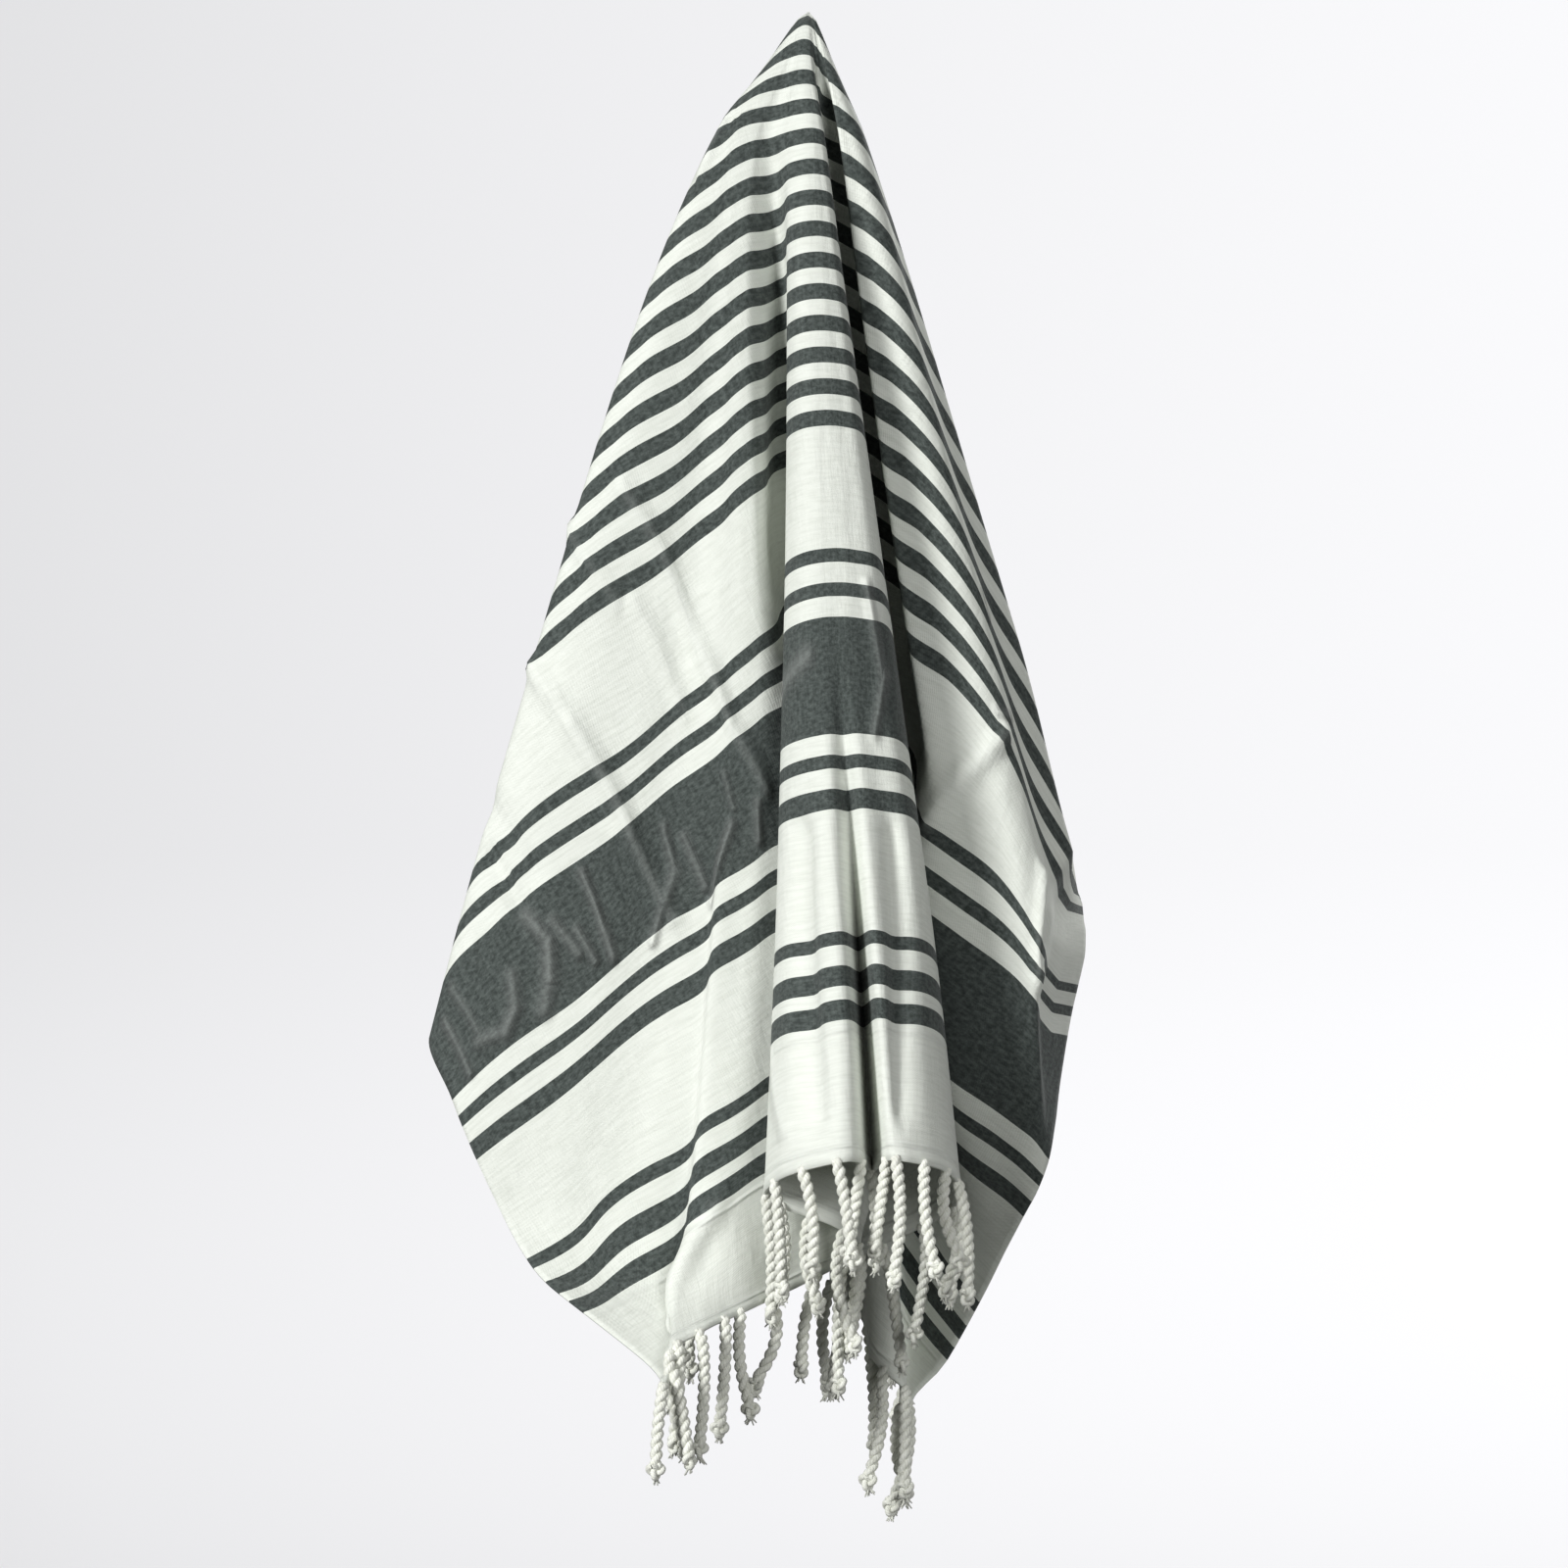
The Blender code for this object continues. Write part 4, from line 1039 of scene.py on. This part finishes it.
def twistedYarn():
    # fine fibres wound round each ply: stripes in along + around, and a soft uneven tone
    look = yarnLook
    material, tree, shader = newMaterial("twistedCotton", look["surface"])
    place = tree.nodes.new("ShaderNodeUVMap")
    place.uv_map = "flatCloth"
    split = tree.nodes.new("ShaderNodeSeparateXYZ")
    tree.links.new(place.outputs["UV"], split.inputs[0])
    wound = mathNode(tree, "MULTIPLY", split.outputs[0], look["turns"])
    wound = mathNode(tree, "ADD", wound, split.outputs[1])
    wound = mathNode(tree, "MULTIPLY", wound, 2 * math.pi * look["fibres"])
    fibre = mathNode(tree, "SINE", wound)
    where = tree.nodes.new("ShaderNodeTexCoord")
    tone = noiseNode(tree, where.outputs["Object"], *look["tone"])
    tone = mathNode(tree, "MULTIPLY_ADD", tone, *look["toneMix"])
    mix = mathNode(tree, "MULTIPLY_ADD", fibre, look["fibreTone"], tone, clamp=True)
    colour = mixColours(tree, mix, look["light"], look["dark"])
    tree.links.new(colour, shader.inputs["Base Color"])
    fuzz = noiseNode(tree, where.outputs["Object"], *look["fuzz"])
    fuzz = mathNode(tree, "MULTIPLY", fuzz, look["fuzzHigh"])
    height = mathNode(tree, "MULTIPLY_ADD", fibre, look["fibreHigh"], fuzz)
    bump = bumpNode(tree, height, *look["bump"])
    tree.links.new(bump.outputs["Normal"], shader.inputs["Normal"])
    return material


yarnMaterial = twistedYarn()
frontTassels.data.materials.append(yarnMaterial)
backTassels.data.materials.append(yarnMaterial)
print("materials made")

studio = {
    "floor": -1.40,
    "inner": 2.4,
    "round": 0.9,
    "top": 4.0,
    "hole": 0.02,
    "flatShare": 0.5,
    "bendSteps": 14,
    "sides": 96,
    "tone": (0.765, 0.765, 0.778, 1.0),
    "sunFrom": (-0.69, -0.65, 0.32),
    "sun": 2.75,
    "sunSoft": 16.0,
    "sky": 0.10,
    "fillFrom": (0.42, -0.88, 0.22),
    "fill": 1.05,
    "fillSoft": 24.0,
    "backFrom": (0.38, 0.80, 0.46),
    "back": 2.0,
    "backSoft": 24.0,
    "eye": (-0.014, -6.0, -0.441),
    "focal": 241.0,
    "far": 60.0,
}


def studioBowl():
    # a floor that curves up into a round wall: a profile turned about the vertical axis
    bend = np.linspace(0.0, np.pi / 2, studio["bendSteps"])
    flat = [studio["hole"], studio["inner"] * studio["flatShare"]]
    radius = np.concatenate([flat, studio["inner"] + studio["round"] * np.sin(bend)])
    height = np.concatenate([[0.0, 0.0], studio["round"] * (1.0 - np.cos(bend))]) + studio["floor"]
    radius = np.append(radius, radius[-1])
    height = np.append(height, studio["top"])
    sides = studio["sides"]
    angle = np.arange(sides) * 2 * np.pi / sides
    points = np.stack(
        [
            radius[:, None] * np.cos(angle),
            radius[:, None] * np.sin(angle),
            np.broadcast_to(height[:, None], (len(height), sides)),
        ],
        axis=-1,
    ).reshape(-1, 3)
    points = np.concatenate([points, [[0.0, 0.0, studio["floor"]]]])
    j = np.arange(sides)
    after = (j + 1) % sides
    k = np.arange(len(height) - 1)[:, None] * sides
    faces = np.stack([k + j, k + sides + j, k + sides + after, k + after], axis=-1).reshape(-1, 4)
    centre = np.stack([np.full(sides, len(points) - 1), j, after], axis=-1)
    bowl = addMesh("studio_bowl", points, faces.tolist() + centre.tolist())
    surface = {"Base Color": studio["tone"], "Roughness": 1.0, "Specular IOR Level": 0.0}
    material, tree, shader = newMaterial("paleBackdrop", surface)
    clear = tree.nodes.new("ShaderNodeBsdfTransparent")
    behind = tree.nodes.new("ShaderNodeNewGeometry")
    mix = tree.nodes.new("ShaderNodeMixShader")
    tree.links.new(behind.outputs["Backfacing"], mix.inputs[0])
    tree.links.new(shader.outputs[0], mix.inputs[1])
    tree.links.new(clear.outputs[0], mix.inputs[2])
    tree.links.new(mix.outputs[0], tree.nodes["Material Output"].inputs["Surface"])
    bowl.data.materials.append(material)
    return bowl


def softSun(name, towards, power, soft):
    # a far lamp seen from the object along towards, with a soft edge in degrees
    lamp = bpy.data.lights.new(name, "SUN")
    lamp.energy = power
    lamp.angle = math.radians(soft)
    light = bpy.data.objects.new(name, lamp)
    bpy.context.scene.collection.objects.link(light)
    x, y, z = towards
    light.rotation_euler = (math.atan2(math.hypot(x, y), z), 0.0, math.atan2(x, -y))


bowl = studioBowl()
bowl.visible_shadow = False
bowl.visible_diffuse = False
softSun("key_light", studio["sunFrom"], studio["sun"], studio["sunSoft"])
softSun("fill_light", studio["fillFrom"], studio["fill"], studio["fillSoft"])
softSun("back_light", studio["backFrom"], studio["back"], studio["backSoft"])
world = bpy.data.worlds.new("studio")
world.use_nodes = True
background = world.node_tree.nodes["Background"]
background.inputs["Color"].default_value = (1.0, 1.0, 1.0, 1.0)
background.inputs["Strength"].default_value = studio["sky"]
bpy.context.scene.world = world
bpy.context.scene.view_settings.view_transform = "Standard"
bpy.context.scene.view_settings.look = "Medium High Contrast"

lens = bpy.data.cameras.new("front_view")
lens.lens = studio["focal"]
lens.clip_end = studio["far"]
camera = bpy.data.objects.new("front_view", lens)
bpy.context.scene.collection.objects.link(camera)
camera.location = studio["eye"]
camera.rotation_euler = (math.pi / 2, 0.0, 0.0)
bpy.context.scene.camera = camera
print("studio set")
